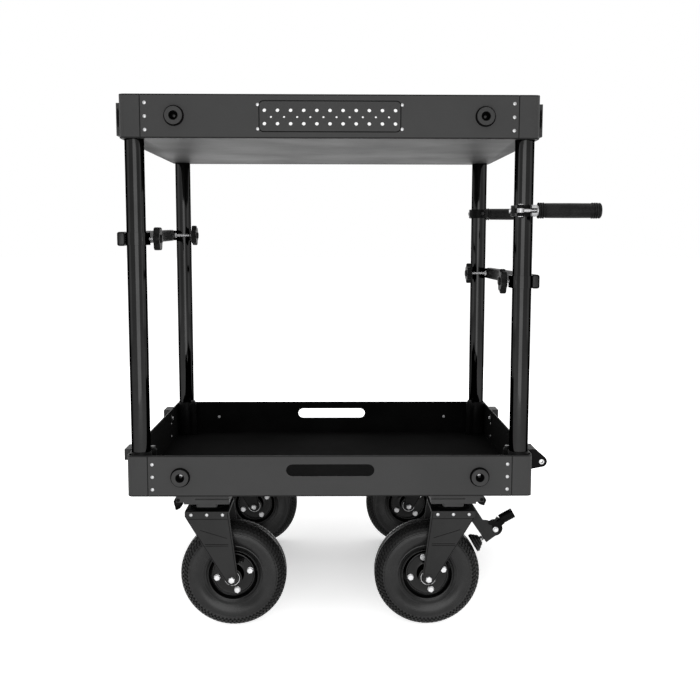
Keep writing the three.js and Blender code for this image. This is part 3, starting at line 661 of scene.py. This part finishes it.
def post_clamps(coat, dark, steel):
    """The split collar round each post's foot, its lug and pinch bolt, and the bolts through the walls."""
    base = TRAYS["bottom"][0] + SHEET
    post_radius, collar_radius, collar_height = 19.3, 21.0, 86
    lug_reach, lug_height = 28, 87
    wall_bolt_x, end_bolt_x, end_bolt_y = 300.5, 405.6, 139.0
    collars, bolts, dark_bolts = bmesh.new(), bmesh.new(), bmesh.new()
    for side_name, side in SIDES.items():
        inner = RIGHT if side < 0 else LEFT
        for row, out in ROWS.items():
            front = row == "front"
            post = centre_of(f"{row}_{side_name}_post")
            foot = Vector((post.x, post.y, base))
            band(collars, post_radius, collar_radius, 0.6, collar_height, foot, UP, 72)
            lug = foot + Vector((-side, -out, 0)).normalized() * lug_reach
            profile = [(0, 0.6), (8.0, 0.6), (8.0, 84), (6.6, lug_height), (0, lug_height)]
            lathe(collars, rounded(profile, 0.8, 2, closed=False), lug, UP, 40, closed=False)
            block(collars, (min(post.x, lug.x), min(post.y, lug.y), base + 66),
                  (max(post.x, lug.x), max(post.y, lug.y), base + 84), 0.8)
            hexagon(dark_bolts, lug + UP * lug_height, UP, 10.0, 5.0, 0.3)
            wall = SHEET if front else DEPTH - SHEET
            facing = BACK if front else FORWARD
            hexagon(bolts, (side * wall_bolt_x, wall, base + 41), facing, 7.0, 3.0, 0.3)
            end = (side * end_bolt_x, end_bolt_y if front else DEPTH - end_bolt_y, base + 62)
            washer(dark_bolts, end, inner, 9.0, 1.4)
            hexagon(bolts, Vector(end) + inner * 1.4, inner, 8.0, 4.0, 0.1)
            for drop in (15, 47):
                rivet(bolts, (end[0], end[1], end[2] - drop), inner, 2.8, 1.2)
    finished("post_collars", collars, coat, "cart")
    finished("post_collar_bolts", dark_bolts, dark, "cart")
    finished("tray_wall_bolts", bolts, steel, "cart")


def side_block_shade_lenses(material):
    """A thin black eye shape on each end face of the top tray's side blocks: painted shade of the side of a
    round boss there, which is not built.
    """
    x, z, half_width, half_height = 413.0, TRAYS["top"][0] + 40.5, 2.6, 18.5
    near, far = 20.0, 83.0
    outline = [(half_width * px, half_height * pz) for px, pz in polygon(1, 24)]
    bm = bmesh.new()
    for side in SIDES.values():
        for y, axis in ((near, FORWARD), (far, BACK), (DEPTH - far, FORWARD), (DEPTH - near, BACK)):
            prism(bm, outline, (side * x, y, z), axis, -0.4, 0.5, 0.2)
    finished("side_block_shade_lenses", bm, material, "cart")


def eye_ring(steel):
    """The bright ring at both ends of the lug's eye."""
    low, high = ends_of("eye_lug")
    x, z = high.x - 11.6, TRAYS["bottom"][1] - 28
    bm = bmesh.new()
    for y, facing in ((low.y, FORWARD), (high.y, BACK)):
        band(bm, 3.0, 5.4, -0.2, 1.4, Vector((x, y, z)), facing, 32, 0.5, 3)
    finished("eye_ring", bm, steel, "cart")


# Casters.
def wheel_centre(label):
    return centre_of(f"{label}_axle")


def side_of(label):
    return SIDES[label.split("_")[1]]


def kingpin_of(label):
    """The place where a kingpin's axis meets the floor."""
    return Vector((side_of(label) * KINGPIN, wheel_centre(label).y, 0))


def polar(reach, degrees, y=0):
    """A step in the wheels' plane, and along y."""
    angle = math.radians(degrees)
    return Vector((reach * math.cos(angle), y, reach * math.sin(angle)))


def tyre(label, material, shaded_tread_material):
    """A cushion tyre: a domed carcass with sidewall rings, and four rows of tread blocks a side; beyond 94 mm
    from the axle it takes a darker, duller copy of the rubber as painted shade.
    """
    name = f"{label}_tyre"
    low, high = ends_of(name)
    centre = wheel_centre(label)
    half, outer, tread_from = (high.y - low.y) / 2, centre.z - low.z, 94
    side = [
        (50.8, 0.56), (52.8, 0.66), (57.5, 0.72), (60, 0.785), (61.5, 0.82), (63, 0.81), (66, 0.865),
        (70, 0.925), (75, 0.975), (80, 1.0), (84, 1.0), (87.2, 0.985), (88.0, 1.0), (89.6, 0.985),
        (90.2, 0.95), (94, 0.89), (98.5, 0.775), (102.5, 0.63), (105.8, 0.45), (107.8, 0.26), (108.4, 0.08),
    ]
    bm = bmesh.new()
    profile = [(r, -share * half) for r, share in side] + [(r, share * half) for r, share in reversed(side)]
    lathe(bm, profile, centre, BACK, 120)

    def tread(section, angles):
        rings = [
            [bm.verts.new(at(*(centre + Vector((r * math.sin(angle), y, -r * math.cos(angle))))))
             for y, r in section]
            for angle in angles
        ]
        capped(bm, rings)
        joined(bm, rings)

    rows = [
        ([(0.89, 93.4), (0.955, 95.2), (0.85, 99.6), (0.765, 98.4)], 0.0, 0.5),
        ([(0.75, 99.2), (0.81, 100.8), (0.67, 104.7), (0.61, 103.0)], 0.5, 1.0),
        ([(0.58, 103.8), (0.61, 105.5), (0.47, 108.6), (0.43, 106.4)], 0.0, 0.6),
        ([(0.38, 107.0), (0.40, 109.2), (0.12, outer), (0.10, 108.2)], 0.3, 1.15),
    ]
    count = 72
    step = 2 * math.pi / count
    for i in range(count):
        for sign in (-1, 1):
            for section, start, end in rows:
                tread([(sign * share * half, r) for share, r in section],
                      (step * (i + start), step * (i + end)))
    made = finished(f"{name}_treaded", bm, material, body_of(name), (name,), 30)
    # Painted shade: faces beyond 94 mm from the axle take the darker tread rubber.
    made.data.materials.append(shaded_tread_material)
    axle = at(*centre)
    for face in made.data.polygons:
        reach = face.center - axle
        face.material_index = int(math.hypot(reach.x, reach.z) > tread_from * MM)


def wheel_rim(label, lacquer, steel, dark, bolt_turn):
    """A split rim with its curled flange and hub, and on each face four bolts and two thin lips."""
    name = f"{label}_rim"
    centre, body = wheel_centre(label), body_of(name)
    side = [
        (6.3, 44), (9.5, 44), (10, 42.6), (14, 42.6), (14.6, 44), (20, 44), (20, 20), (22, 16.4), (30, 16),
        (41.5, 16), (42.4, 17.4), (44.2, 17.4), (45, 16.2), (50.6, 21), (51.6, 23.4), (54.4, 24.6),
        (54.4, 22.8), (50.5, 21.6),
    ]
    bm = bmesh.new()
    profile = rounded([(r, -y) for r, y in side] + [(r, y) for r, y in reversed(side)], 0.8, 2)
    lathe(bm, profile, centre, BACK, 96)
    finished(f"{name}_turned", bm, lacquer, body, (name,))
    bolts, lips = bmesh.new(), bmesh.new()
    bolt_circle, face, washer_height = 35.0, 16.0, 1.2
    outer_lip = [(51.0, 24.2), (51.9, 24.0), (52.4, 24.9), (51.3, 25.1)]
    for facing in (FORWARD, BACK):
        for k in range(4):
            degrees = bolt_turn + 90 * k
            foot = centre + polar(bolt_circle, degrees, face * facing.y)
            washer(bolts, foot, facing, 6.6, washer_height)
            hexagon(bolts, foot + facing * washer_height, facing, 11.4, 4.2, math.radians(degrees))
        lathe(lips, rounded(outer_lip, 0.3, 2), centre, facing, 96)
        band(lips, 42.0, 43.6, 16.2, 18.0, centre, facing, 96, 0.5)
        band(bolts, 14.4, 15.4, 44.0, 44.6, centre, facing, 48, 0.3)
    finished(f"{label}_wheel_bolts", bolts, steel, body)
    finished(f"{label}_rim_lips", lips, dark, body)


def valve(label, material, degrees):
    """The air valve between two wheel bolts."""
    bm = bmesh.new()
    profile = [(0, 0), (4.4, 0), (3.8, 3), (2.7, 4.2), (2.7, 9), (3.4, 9.4), (3.4, 14), (2.6, 15), (0, 15)]
    foot = wheel_centre(label) + polar(33, degrees, -15.8)
    lathe(bm, rounded(profile, 0.4, 2, closed=False), foot, FORWARD, 24, closed=False)
    finished(f"{label}_valve", bm, material, body_of(f"{label}_rim"))


def axle_bolt(label, steel, coat):
    """The axle with its head and lock nut, and a washer under each."""
    name = f"{label}_axle"
    low, high = ends_of(name)
    centre = wheel_centre(label)
    reach, fork_face = (high.y - low.y) / 2, 52.2
    bm, washers = bmesh.new(), bmesh.new()
    rod(bm, 5.2, centre + FORWARD * reach, centre + BACK * reach, edge=0.9)
    for facing in (FORWARD, BACK):
        foot = centre + facing * fork_face
        hexagon(bm, foot + facing * 1.3, facing, 11.6, reach - 54.0, 0.4)
        washer(washers, foot, facing, 9.6, 1.4)
    finished(f"{name}_bolted", bm, steel, body_of(name), (name,))
    finished(f"{name}_washers", washers, coat, body_of(name))


def fork_details(label, line, steel):
    """Rivets through the crown, and thin near-black beads, painted shade, along the bends of each leg: below
    the crown, across and along its edges.
    """
    kingpin, inward = kingpin_of(label), -side_of(label)
    half_depth, sunk = 52.0, 0.15
    rivet_places, rivet_z = (-31.8, 0, 31.9), 244.7
    lines = [
        ((-41, 236), (42, 236)), ((-4, 183.5), (43, 183.5)), ((-4, 180.0), (43, 180.0)),
        ((-14, 213), (40, 196)), ((41.5, 249), (59.5, 112)), ((-41.5, 238), (38.5, 106)),
    ]
    rivets, crease_shade_beads = bmesh.new(), bmesh.new()
    for facing in (FORWARD, BACK):
        for dx in rivet_places:
            rivet(rivets, (kingpin.x + dx, kingpin.y + facing.y * half_depth, rivet_z), facing, 3.5, 1.4)
        y = kingpin.y + facing.y * (half_depth - sunk)
        # Painted shade: near-black beads along the bends of the leg.
        for points in lines:
            bead(crease_shade_beads, [(kingpin.x + inward * x, y, z) for x, z in points], 0.55)
    finished(f"{label}_fork_rivets", rivets, steel, f"{label}_swivel")
    finished(f"{label}_fork_crease_shade", crease_shade_beads, line, f"{label}_swivel")


def bearing_ring(label, coat, dark):
    """The dust cover of the swivel, near-black as painted shade of the tray above it, and the block above it,
    under the rail.
    """
    kingpin = kingpin_of(label)
    cover = [(20, 252.2), (38.9, 252.2), (38.9, 255.0), (36, 255.5), (23.6, 256.4), (23.6, 261), (20, 261)]
    bm = bmesh.new()
    lathe(bm, rounded(cover, 0.5, 2), kingpin, UP, 72)
    # The cover's near-black is painted shade.
    finished(f"{label}_bearing_cover_shaded", bm, dark, "cart")
    bm = bmesh.new()
    prism(bm, rounded_box(42, 101, 4), kingpin, UP, 260.4, 266.5, 0.6)
    finished(f"{label}_bearing_block", bm, coat, "cart")


def latch_parts(label, steel, dark):
    """Pin heads at both ends of the latch's hinge pin, and the black tail that hangs from its blade."""
    name = f"{label}_latch"
    low, high = ends_of(name)
    side = side_of(label)
    ear, pin, gap, drop = 45.7, 11.3, 0.3, 8.0
    pivot_x, pivot_z = side * (KINGPIN + ear + pin), TRAYS["bottom"][0] - gap - drop
    bm = bmesh.new()
    for y, facing in ((low.y, FORWARD), (high.y, BACK)):
        disc(bm, 3.6, 1.2, (pivot_x, y, pivot_z), facing, 24, 0.4)
    finished(f"{label}_latch_pin_heads", bm, steel, body_of(name))
    tail = [
        (10.4, -4.2), (7.0, 2.6), (-6.6, 4.3), (-6.3, -13.9), (-2.7, -18.6), (2.4, -21.4), (6.5, -22.0),
        (7.4, -16.0), (9.6, -7.8),
    ]
    length, half_width = {-1: 1.0, 1: 0.62}[side], 11.0
    outline = [(side * x, length * z) for x, z in tail][::-side]
    bm = bmesh.new()
    prism(bm, outline, (pivot_x, (low.y + high.y) / 2, pivot_z), FORWARD, -half_width, half_width, 0.8)
    finished(f"{label}_latch_tail", bm, dark, body_of(name))


def brake_lever_parts(row, steel, dark):
    """The side plate on the brake lever, the nut on it, the pedal's ridges and the ring at the rear."""
    label, body = f"{row}_right", f"{row}_pedal"
    kingpin, pivot_reach, pivot_height = kingpin_of(label), 92.9, 201.3
    pivot = Vector((KINGPIN + pivot_reach, kingpin.y, pivot_height))
    outline = [
        (14.6, 1.1), (13.0, 9.0), (18.7, 13.4), (10.5, 22.5), (3.1, 15.9), (-2.6, 17.5), (-8.4, 19.7),
        (-15.7, 16.7), (-14.9, 11.0), (-7.5, 9.3), (-6.4, 3.0), (-6.0, -3.0), (-1.0, -7.0), (5.6, -6.8),
        (12.0, -5.4),
    ]
    y, thickness = kingpin.y - 11.0, 2.2
    bm = bmesh.new()
    prism(bm, outline[::-1], (pivot.x, y, pivot.z), FORWARD, 0.1, thickness, 0.3)
    finished(f"{label}_brake_cheek", bm, dark, body)
    y -= thickness
    bm = bmesh.new()
    washer(bm, (pivot.x, y, pivot.z), FORWARD, 5.8, 1.0)
    hexagon(bm, (pivot.x, y - 1.0, pivot.z), FORWARD, 9.0, 3.6, 0.2)
    finished(f"{label}_brake_nut", bm, steel, body)
    elbow, along, first, pitch = pivot + polar(21.1, 57), polar(1, 29), 4, 4
    bm = bmesh.new()
    for k in range(7):
        band(bm, 9.4, 10.6, -0.9, 0.9, elbow + along * (first + pitch * k), along)
    band(bm, 15.0, 15.9, -11, -8, pivot + BACK * 17, BACK, 48, 0.5)
    finished(f"{label}_pedal_ridges", bm, dark, body)


def brake_shoe_parts(row, steel, coat):
    """The spring and the nut on the shoe's stud, and the rings round the shoe."""
    label, body = f"{row}_right", f"{row}_shoe"
    wheel, slope, gap = wheel_centre(label), 31, 3.6
    direction = polar(1, slope)
    across = Vector((-direction.z, 0, direction.x))
    face = WHEEL_RADIUS + gap
    start, end, turns, steps, radius = face + 18.4, face + 27.4, 3, 16, 5.6
    points = []
    for i in range(turns * steps + 1):
        t = i / (turns * steps)
        angle = 2 * math.pi * turns * t
        points.append(wheel + direction * (start + (end - start) * t)
                      + (across * math.cos(angle) + BACK * math.sin(angle)) * radius)
    bm = bmesh.new()
    bead(bm, points, 0.7)
    hexagon(bm, wheel + direction * (start - 1.2), direction, 10.0, 4.0, 0.2)
    finished(f"{label}_brake_spring", bm, steel, body)
    bm = bmesh.new()
    for along, radius in ((5.2, 19.2), (10.5, 15.2), (15.5, 11.2)):
        band(bm, radius - 1, radius + 0.6, -0.5, 0.5, wheel + direction * (face + along), direction, edge=0.2)
    finished(f"{label}_brake_shoe_rings", bm, coat, body)


# Side bars, clamps and handles.
def bar_plugs(side_name, dark, light):
    """The moulded plugs in both ends of a side bar."""
    name = f"{side_name}_side_bar"
    low, high = ends_of(name)
    rise, run, half_length = {"left": 9.0, "right": -2.7}[side_name], DEPTH - 2 * 52.4, (DEPTH - 60) / 2
    outer, inner = rounded_box(15.0, 27.4, 3.8), rounded_box(11.0, 23.0, 2.6)
    lips, faces = bmesh.new(), bmesh.new()
    for facing in (FORWARD, BACK):
        y = DEPTH / 2 + facing.y * half_length
        z = (low.z + high.z) / 2 + math.tan(math.atan2(rise, run)) * (y - DEPTH / 2)
        end = Vector(((low.x + high.x) / 2, y, z))
        joined(lips, [
            [lips.verts.new(at(end.x + px, end.y + facing.y * out, end.z + pz)) for px, pz in outline]
            for outline, out in ((outer, 0.0), (outer, 1.2), (inner, 1.6), (inner, 0.2))
        ])
        prism(faces, rounded_box(11.2, 23.2, 2.6), end, facing, 0.1, 0.5, 0.15)
    finished(f"{name}_plug_rims", lips, dark, body_of(name))
    finished(f"{name}_plug_faces", faces, light, body_of(name))


def strap_patch(side_name, dark):
    """The small dark plate on the front of a front clamp."""
    strap = f"{side_name}_front_strap"
    low, high = ends_of(strap)
    x, z = SIDES[side_name] * 369.0, (low.z + high.z) / 2
    bm = bmesh.new()
    block(bm, (x - 1.6, 8.6, z - 5), (x + 1.6, 10.4, z + 5), 0.3)
    finished(f"{strap}_patch", bm, dark, body_of(strap))


def knob_star(row, side_name, plastic, steel):
    """A six-lobed knob with rounded rims and a hub, and its threaded bolt and nut in bare metal."""
    name = f"{side_name}_{row}_knob"
    side = SIDES[side_name]
    out, turn = {
        "left": {"front": (9.6, 30), "rear": (4.2, 15)}, "right": {"front": (6.0, 15), "rear": (0.2, 0)},
    }[side_name][row]
    low, high = ends_of(name)
    post = centre_of(f"{row}_{side_name}_post")
    strap_outer, radius, valley, thickness, segments = 20.85, 25.5, 20.5, 13.2, 96
    face = strap_outer + 0.3 + out
    centre = Vector((post.x - side * face, (low.y + high.y) / 2, (low.z + high.z) / 2))
    towards, away = (LEFT, RIGHT) if side > 0 else (RIGHT, LEFT)
    swing, mid = (radius - valley) / 2, (radius + valley) / 2
    turn_to = turned_to(towards)
    upward = turn_to.inverted() @ UP
    phase = math.atan2(upward.y, upward.x) + math.radians(turn)

    def star(base, flatness):
        outline = []
        for i in range(segments):
            angle = 2 * math.pi * i / segments
            reach = base + swing * math.cos(6 * (angle - phase)) * (1 - flatness)
            outline.append((reach * math.cos(angle), reach * math.sin(angle)))
        return outline

    layers = [  # radius, height and how much of the lobes is gone
        (9.5, 1.6, 1), (11, 1.2, 1), (mid - 3.4, 0.4, 0.15), (mid - 1.5, 0.6, 0.1), (mid - 0.4, 1.5, 0.03),
        (mid, 3.2, 0), (mid, thickness - 3.2, 0), (mid - 0.4, thickness - 1.5, 0.03),
        (mid - 1.5, thickness - 0.5, 0.1), (mid - 3.4, thickness - 0.2, 0.15), (11, thickness - 0.6, 1),
        (8.4, thickness - 0.6, 1), (7.9, thickness + 2.4, 1), (6.9, thickness + 3.0, 1),
    ]
    bm = bmesh.new()
    rings = [placed(bm, star(base, flatness), along, centre, turn_to) for base, along, flatness in layers]
    joined(bm, rings)
    capped(bm, rings)
    finished(f"{name}_star", bm, plastic, body_of(name), (name,))
    bm = bmesh.new()
    bolt_end, pitch = strap_outer + 7.0, 1.6
    rod(bm, 2.9, (post.x - side * (face - 0.5), centre.y, centre.z),
        (post.x + side * bolt_end, centre.y, centre.z), edge=0.8)
    for k in range(int((face + bolt_end) / pitch)):
        x = post.x - side * (face - 0.8) + side * pitch * k
        thread = Vector((x, centre.y, centre.z))
        lathe(bm, [(2.8, -0.4), (3.2, 0), (2.8, 0.4)], thread, towards, 20, closed=False)
    hexagon(bm, (post.x + side * 13.45, centre.y, centre.z), away, 10.6, 5.6, 0.2)
    finished(f"{name}_bolt", bm, steel, body_of(name))


def grip(row, material):
    """A rubber sleeve with ribbed ends."""
    name = f"{row}_handle_grip"
    low, high = ends_of(name)
    length, collar, bore, pitch, ribs = high.x - low.x, (high.z - low.z) / 2, 11.3, 4.4, 3
    radius, cuff = collar - 0.9, pitch * ribs

    def ribbed(begin):
        points = []
        for k in range(ribs):
            x = begin + pitch * k
            points += [(collar, x + 0.5), (collar, x + 2.4), (collar - 2.0, x + 2.9), (collar - 2.0, x + 4.0)]
        return points

    profile = [(bore, 0), (collar - 0.4, 0)] + ribbed(0.3)
    profile += [(radius - 0.2, cuff + 1.4), (radius, length * 0.5), (radius - 0.2, length - cuff - 7)]
    profile += ribbed(length - cuff - 5.6)
    profile += [(collar - 0.3, length - 4.6), (collar - 0.6, length - 1.8), (collar - 3, length), (0, length)]
    profile += [(0, length - 2), (bore, length - 2)]
    start = Vector((low.x, (low.y + high.y) / 2, (low.z + high.z) / 2))
    bm = bmesh.new()
    lathe(bm, rounded(profile, 0.25, 2), start, RIGHT, 64)
    finished(f"{name}_ribbed", bm, material, body_of(name), (name,))


def handle_pins(row, steel):
    """Pin heads above and below the clamp's ears, and the clamp's pinch bolt."""
    clamp = f"{row}_handle_clamp"
    low, high = ends_of(clamp)
    post = centre_of(f"{row}_right_post")
    pin_x, pin_y, bolt_x = 12.4, 36.4, 24.6
    x, y = post.x - pin_x, post.y + ROWS[row] * pin_y
    bm = bmesh.new()
    for z, facing in ((high.z, UP), (low.z, DOWN)):
        disc(bm, 4.8, 1.6, (x, y, z), facing, 32)
    hexagon(bm, (post.x - bolt_x, post.y, (low.z + high.z) / 2), LEFT, 8.0, 3.2, 0.2)
    finished(f"{clamp}_pins", bm, steel, "cart")


def boss_ring(dark, light):
    """The round boss with its bolt on the camera side of the rear handle's clamp."""
    x, reach = 390.2, 24.0
    centre = Vector((x, centre_of("rear_right_post").y - reach, centre_of("rear_handle_clamp").z))
    profile = [(5.0, -2), (8.6, -2), (8.6, 3.6), (7.4, 4.6), (5.0, 4.6)]
    bm = bmesh.new()
    lathe(bm, rounded(profile, 0.8), centre, FORWARD, 40)
    finished("rear_handle_boss", bm, dark, "cart")
    bm = bmesh.new()
    hexagon(bm, centre, FORWARD, 8.0, 3.4, 0.1)
    finished("rear_handle_boss_bolt", bm, light, "cart")


LOOKS = {
    "tray": tray_paint(),
    # Painted light: a copy of the tray coat for the undersides, darker and with a stronger sheen, for the
    # light they catch from below.
    "underside": tray_paint("tray_underside_lit_copy", 0.03, 0.037, 0.13),
    "liner": liner_paint(),
    "receiver": receiver_paint(),
    "gloss": gloss_black(),
    "black": black_steel(),
    "caster": caster_paint(),
    "rail": rail_paint(),
    "dark": dark_aluminium(),
    "rim": gloss_black("rim_lacquer", 0.018, (0.12, 0.2)),
    "zinc": zinc(),
    "tyre": rubber("tyre_rubber", 0.008, 0.013, (0.2, 0.3), 0.22),
    # A darker, duller copy of the tyre rubber: painted shade for the tyres' tread and shoulders.
    "tread": rubber("tread_rubber_shaded", 0.006, 0.01, (0.28, 0.4), 0.13),
    "brake": rubber("brake_rubber", 0.003, 0.006, (0.4, 0.55), 0.05),
    "grip": rubber("grip_rubber", 0.001, 0.016, (0.4, 0.6), 0.08, 420.0, 0.0006),
    "knob": knob_plastic(),
    "bare": bare_aluminium(),
}


def build_trays():
    for tray in TRAYS:
        for part in ("pan", "left_end", "right_end"):
            softened(f"{tray}_tray_{part}", 0.6, LOOKS["tray"],
                     skins=[("lining", LOOKS["liner"], inside_tray(tray)),
                            ("underside", LOOKS["underside"], below_tray(tray))])
    tray_rivets(LOOKS["bare"])
    accessory_plate(LOOKS["tray"], LOOKS["liner"])
    receivers(LOOKS["receiver"], LOOKS["liner"], LOOKS["dark"])
    posts(LOOKS["gloss"], LOOKS["black"])
    post_clamps(LOOKS["black"], LOOKS["dark"], LOOKS["bare"])
    side_block_shade_lenses(LOOKS["black"])
    softened("eye_lug", 0.5, LOOKS["caster"])
    eye_ring(LOOKS["zinc"])


def build_casters():
    bolt_turns = {"front_left": 12.5, "front_right": 13.5, "rear_left": 28, "rear_right": 34}
    for row in ROWS:
        for side_name in SIDES:
            label = f"{row}_{side_name}"
            softened(f"{label}_fork", 0.8, LOOKS["caster"], 40)
            softened(f"{label}_caster_mount", 0.5, LOOKS["rail"], 40)
            softened(f"{label}_latch", 0.5, LOOKS["black"], 40)
            tyre(label, LOOKS["tyre"], LOOKS["tread"])
            wheel_rim(label, LOOKS["rim"], LOOKS["zinc"], LOOKS["dark"], bolt_turns[label])
            valve(label, LOOKS["tyre"], bolt_turns[label] + 45)
            axle_bolt(label, LOOKS["zinc"], LOOKS["caster"])
            fork_details(label, LOOKS["liner"], LOOKS["bare"])
            bearing_ring(label, LOOKS["rail"], LOOKS["liner"])
            latch_parts(label, LOOKS["black"], LOOKS["liner"])
        softened(f"{row}_right_brake_shoe", 0.5, LOOKS["brake"], 40)
        softened(f"{row}_right_brake_lever", 0.6, LOOKS["black"], 40)
        brake_lever_parts(row, LOOKS["zinc"], LOOKS["black"])
        brake_shoe_parts(row, LOOKS["zinc"], LOOKS["rail"])


def build_rails_and_handles():
    for side_name in SIDES:
        softened(f"{side_name}_side_bar", 0.6, LOOKS["black"], 40)
        bar_plugs(side_name, LOOKS["black"], LOOKS["dark"])
        strap_patch(side_name, LOOKS["dark"])
        for row in ROWS:
            softened(f"{side_name}_{row}_strap", 0.3, LOOKS["gloss"], 40)
            knob_star(row, side_name, LOOKS["knob"], LOOKS["bare"])
    for row in ROWS:
        softened(f"{row}_handle_clamp", 0.5, LOOKS["black"], 40)
        softened(f"{row}_handle_core", 0.4, LOOKS["bare"], 40)
        grip(row, LOOKS["grip"])
        handle_pins(row, LOOKS["zinc"])
    boss_ring(LOOKS["black"], LOOKS["dark"])


def camera():
    """The camera as solved from the photograph: its place and its right, up and forward directions."""
    place = (-0.03886, -2.25212, 0.79995)
    right = Vector((0.999894, -0.014506, 0.001548))
    up = Vector((0.0001, 0.1128, 0.9936))
    forward = Vector((0.014588, 0.993508, -0.112826))
    data = bpy.data.cameras.new("camera")
    data.lens, data.sensor_width = 50.132, 36.0
    data.clip_start, data.clip_end = 0.05, 60.0
    made = linked("camera", data)
    turn = Matrix((right, up, -forward)).transposed()
    made.matrix_world = Matrix.Translation(place) @ turn.to_4x4()
    bpy.context.scene.camera = made


def seen_directly(tree):
    """1 for rays from the camera, and for those that metal and glass reflect or let through."""
    path = node(tree, "LightPath")
    both = maths(tree, "MAXIMUM", path.outputs["Is Camera Ray"], path.outputs["Is Glossy Ray"])
    return maths(tree, "MAXIMUM", both, path.outputs["Is Transmission Ray"])


def floor(size, shadow_lift, far_lift):
    """A white floor that keeps the object's shadow. The lift takes over where the lamps' light ends; it is
    lower near a point just behind the cart, where the overhead lamp adds light, and there it also paints a
    deeper shadow.
    """
    bm = bmesh.new()
    bmesh.ops.create_grid(bm, x_segments=8, y_segments=8, size=size)
    mesh = bpy.data.meshes.new("floor")
    bm.to_mesh(mesh)
    bm.free()
    material, tree, shader = new_material("floor_white")
    tone = mixed(tree, noise(tree, 1.5, 2.0), grey(0.90), grey(0.92))
    middle, near, far = (0, 0.5, 0), 0.3, 1.0
    away = node(tree, "VectorMath", {0: place_in_object(tree), 1: middle}, operation="DISTANCE")
    # Painted shadow: the lift is lowest within 0.3 m of a point just behind the cart and rises to full by 1 m.
    lift = spread(tree, away.outputs["Value"], near, far, shadow_lift, far_lift)
    feed(tree, shader, {
        "Base Color": tone, "Roughness": 0.9, "Specular IOR Level": 0.0, "Emission Color": (1, 1, 1, 1),
        "Emission Strength": maths(tree, "MULTIPLY", seen_directly(tree), lift),
    })
    mesh.materials.append(material)
    made = linked("floor", mesh)


def world(level):
    """Even light at a plain level, and a white background."""
    made = bpy.data.worlds.new("studio")
    bpy.context.scene.world = made
    made.use_nodes = True
    tree = made.node_tree
    strength = spread(tree, seen_directly(tree), 0, 1, level, 1.0, smooth=False)
    feed(tree, tree.nodes["Background"], {"Color": (1, 1, 1, 1), "Strength": strength})


def softbox(name, place, target, width, height, radiance):
    """An area lamp of that radiance, turned to its target."""
    data = bpy.data.lights.new(name, "AREA")
    data.shape = "RECTANGLE"
    data.size, data.size_y = width, height
    data.energy = radiance * math.pi * width * height
    made = linked(name, data)
    made.location = place
    made.rotation_mode = "QUATERNION"
    made.rotation_quaternion = (Vector(target) - Vector(place)).to_track_quat("-Z", "Y")
    made.visible_camera = False


def studio():
    """A lamp before the object for the light of the photograph, and four weak ones round it."""
    key_level, fill_level = 3.2, 0.8
    floor(40.0, shadow_lift=0.37, far_lift=0.85)
    world(0.3)
    softbox("key", (-0.04, -2.0, 0.73), (-0.04, 0, 0.73), 1.3, 1.44, key_level)
    softbox("overhead", (0, 0, 3.2), (0, 0, 0), 5.0, 5.0, fill_level)
    softbox("left_fill", (-3.2, 0.3, 1.6), (0, 0.3, 0.6), 4.4, 3.0, fill_level)
    softbox("right_fill", (3.2, 0.3, 1.6), (0, 0.3, 0.6), 4.4, 3.0, fill_level)
    softbox("rear_fill", (0, 3.4, 1.7), (0, 0, 0.6), 4.4, 3.2, fill_level)
    bpy.context.scene.view_settings.view_transform = "Standard"


camera()
build_trays()
build_casters()
build_rails_and_handles()
studio()
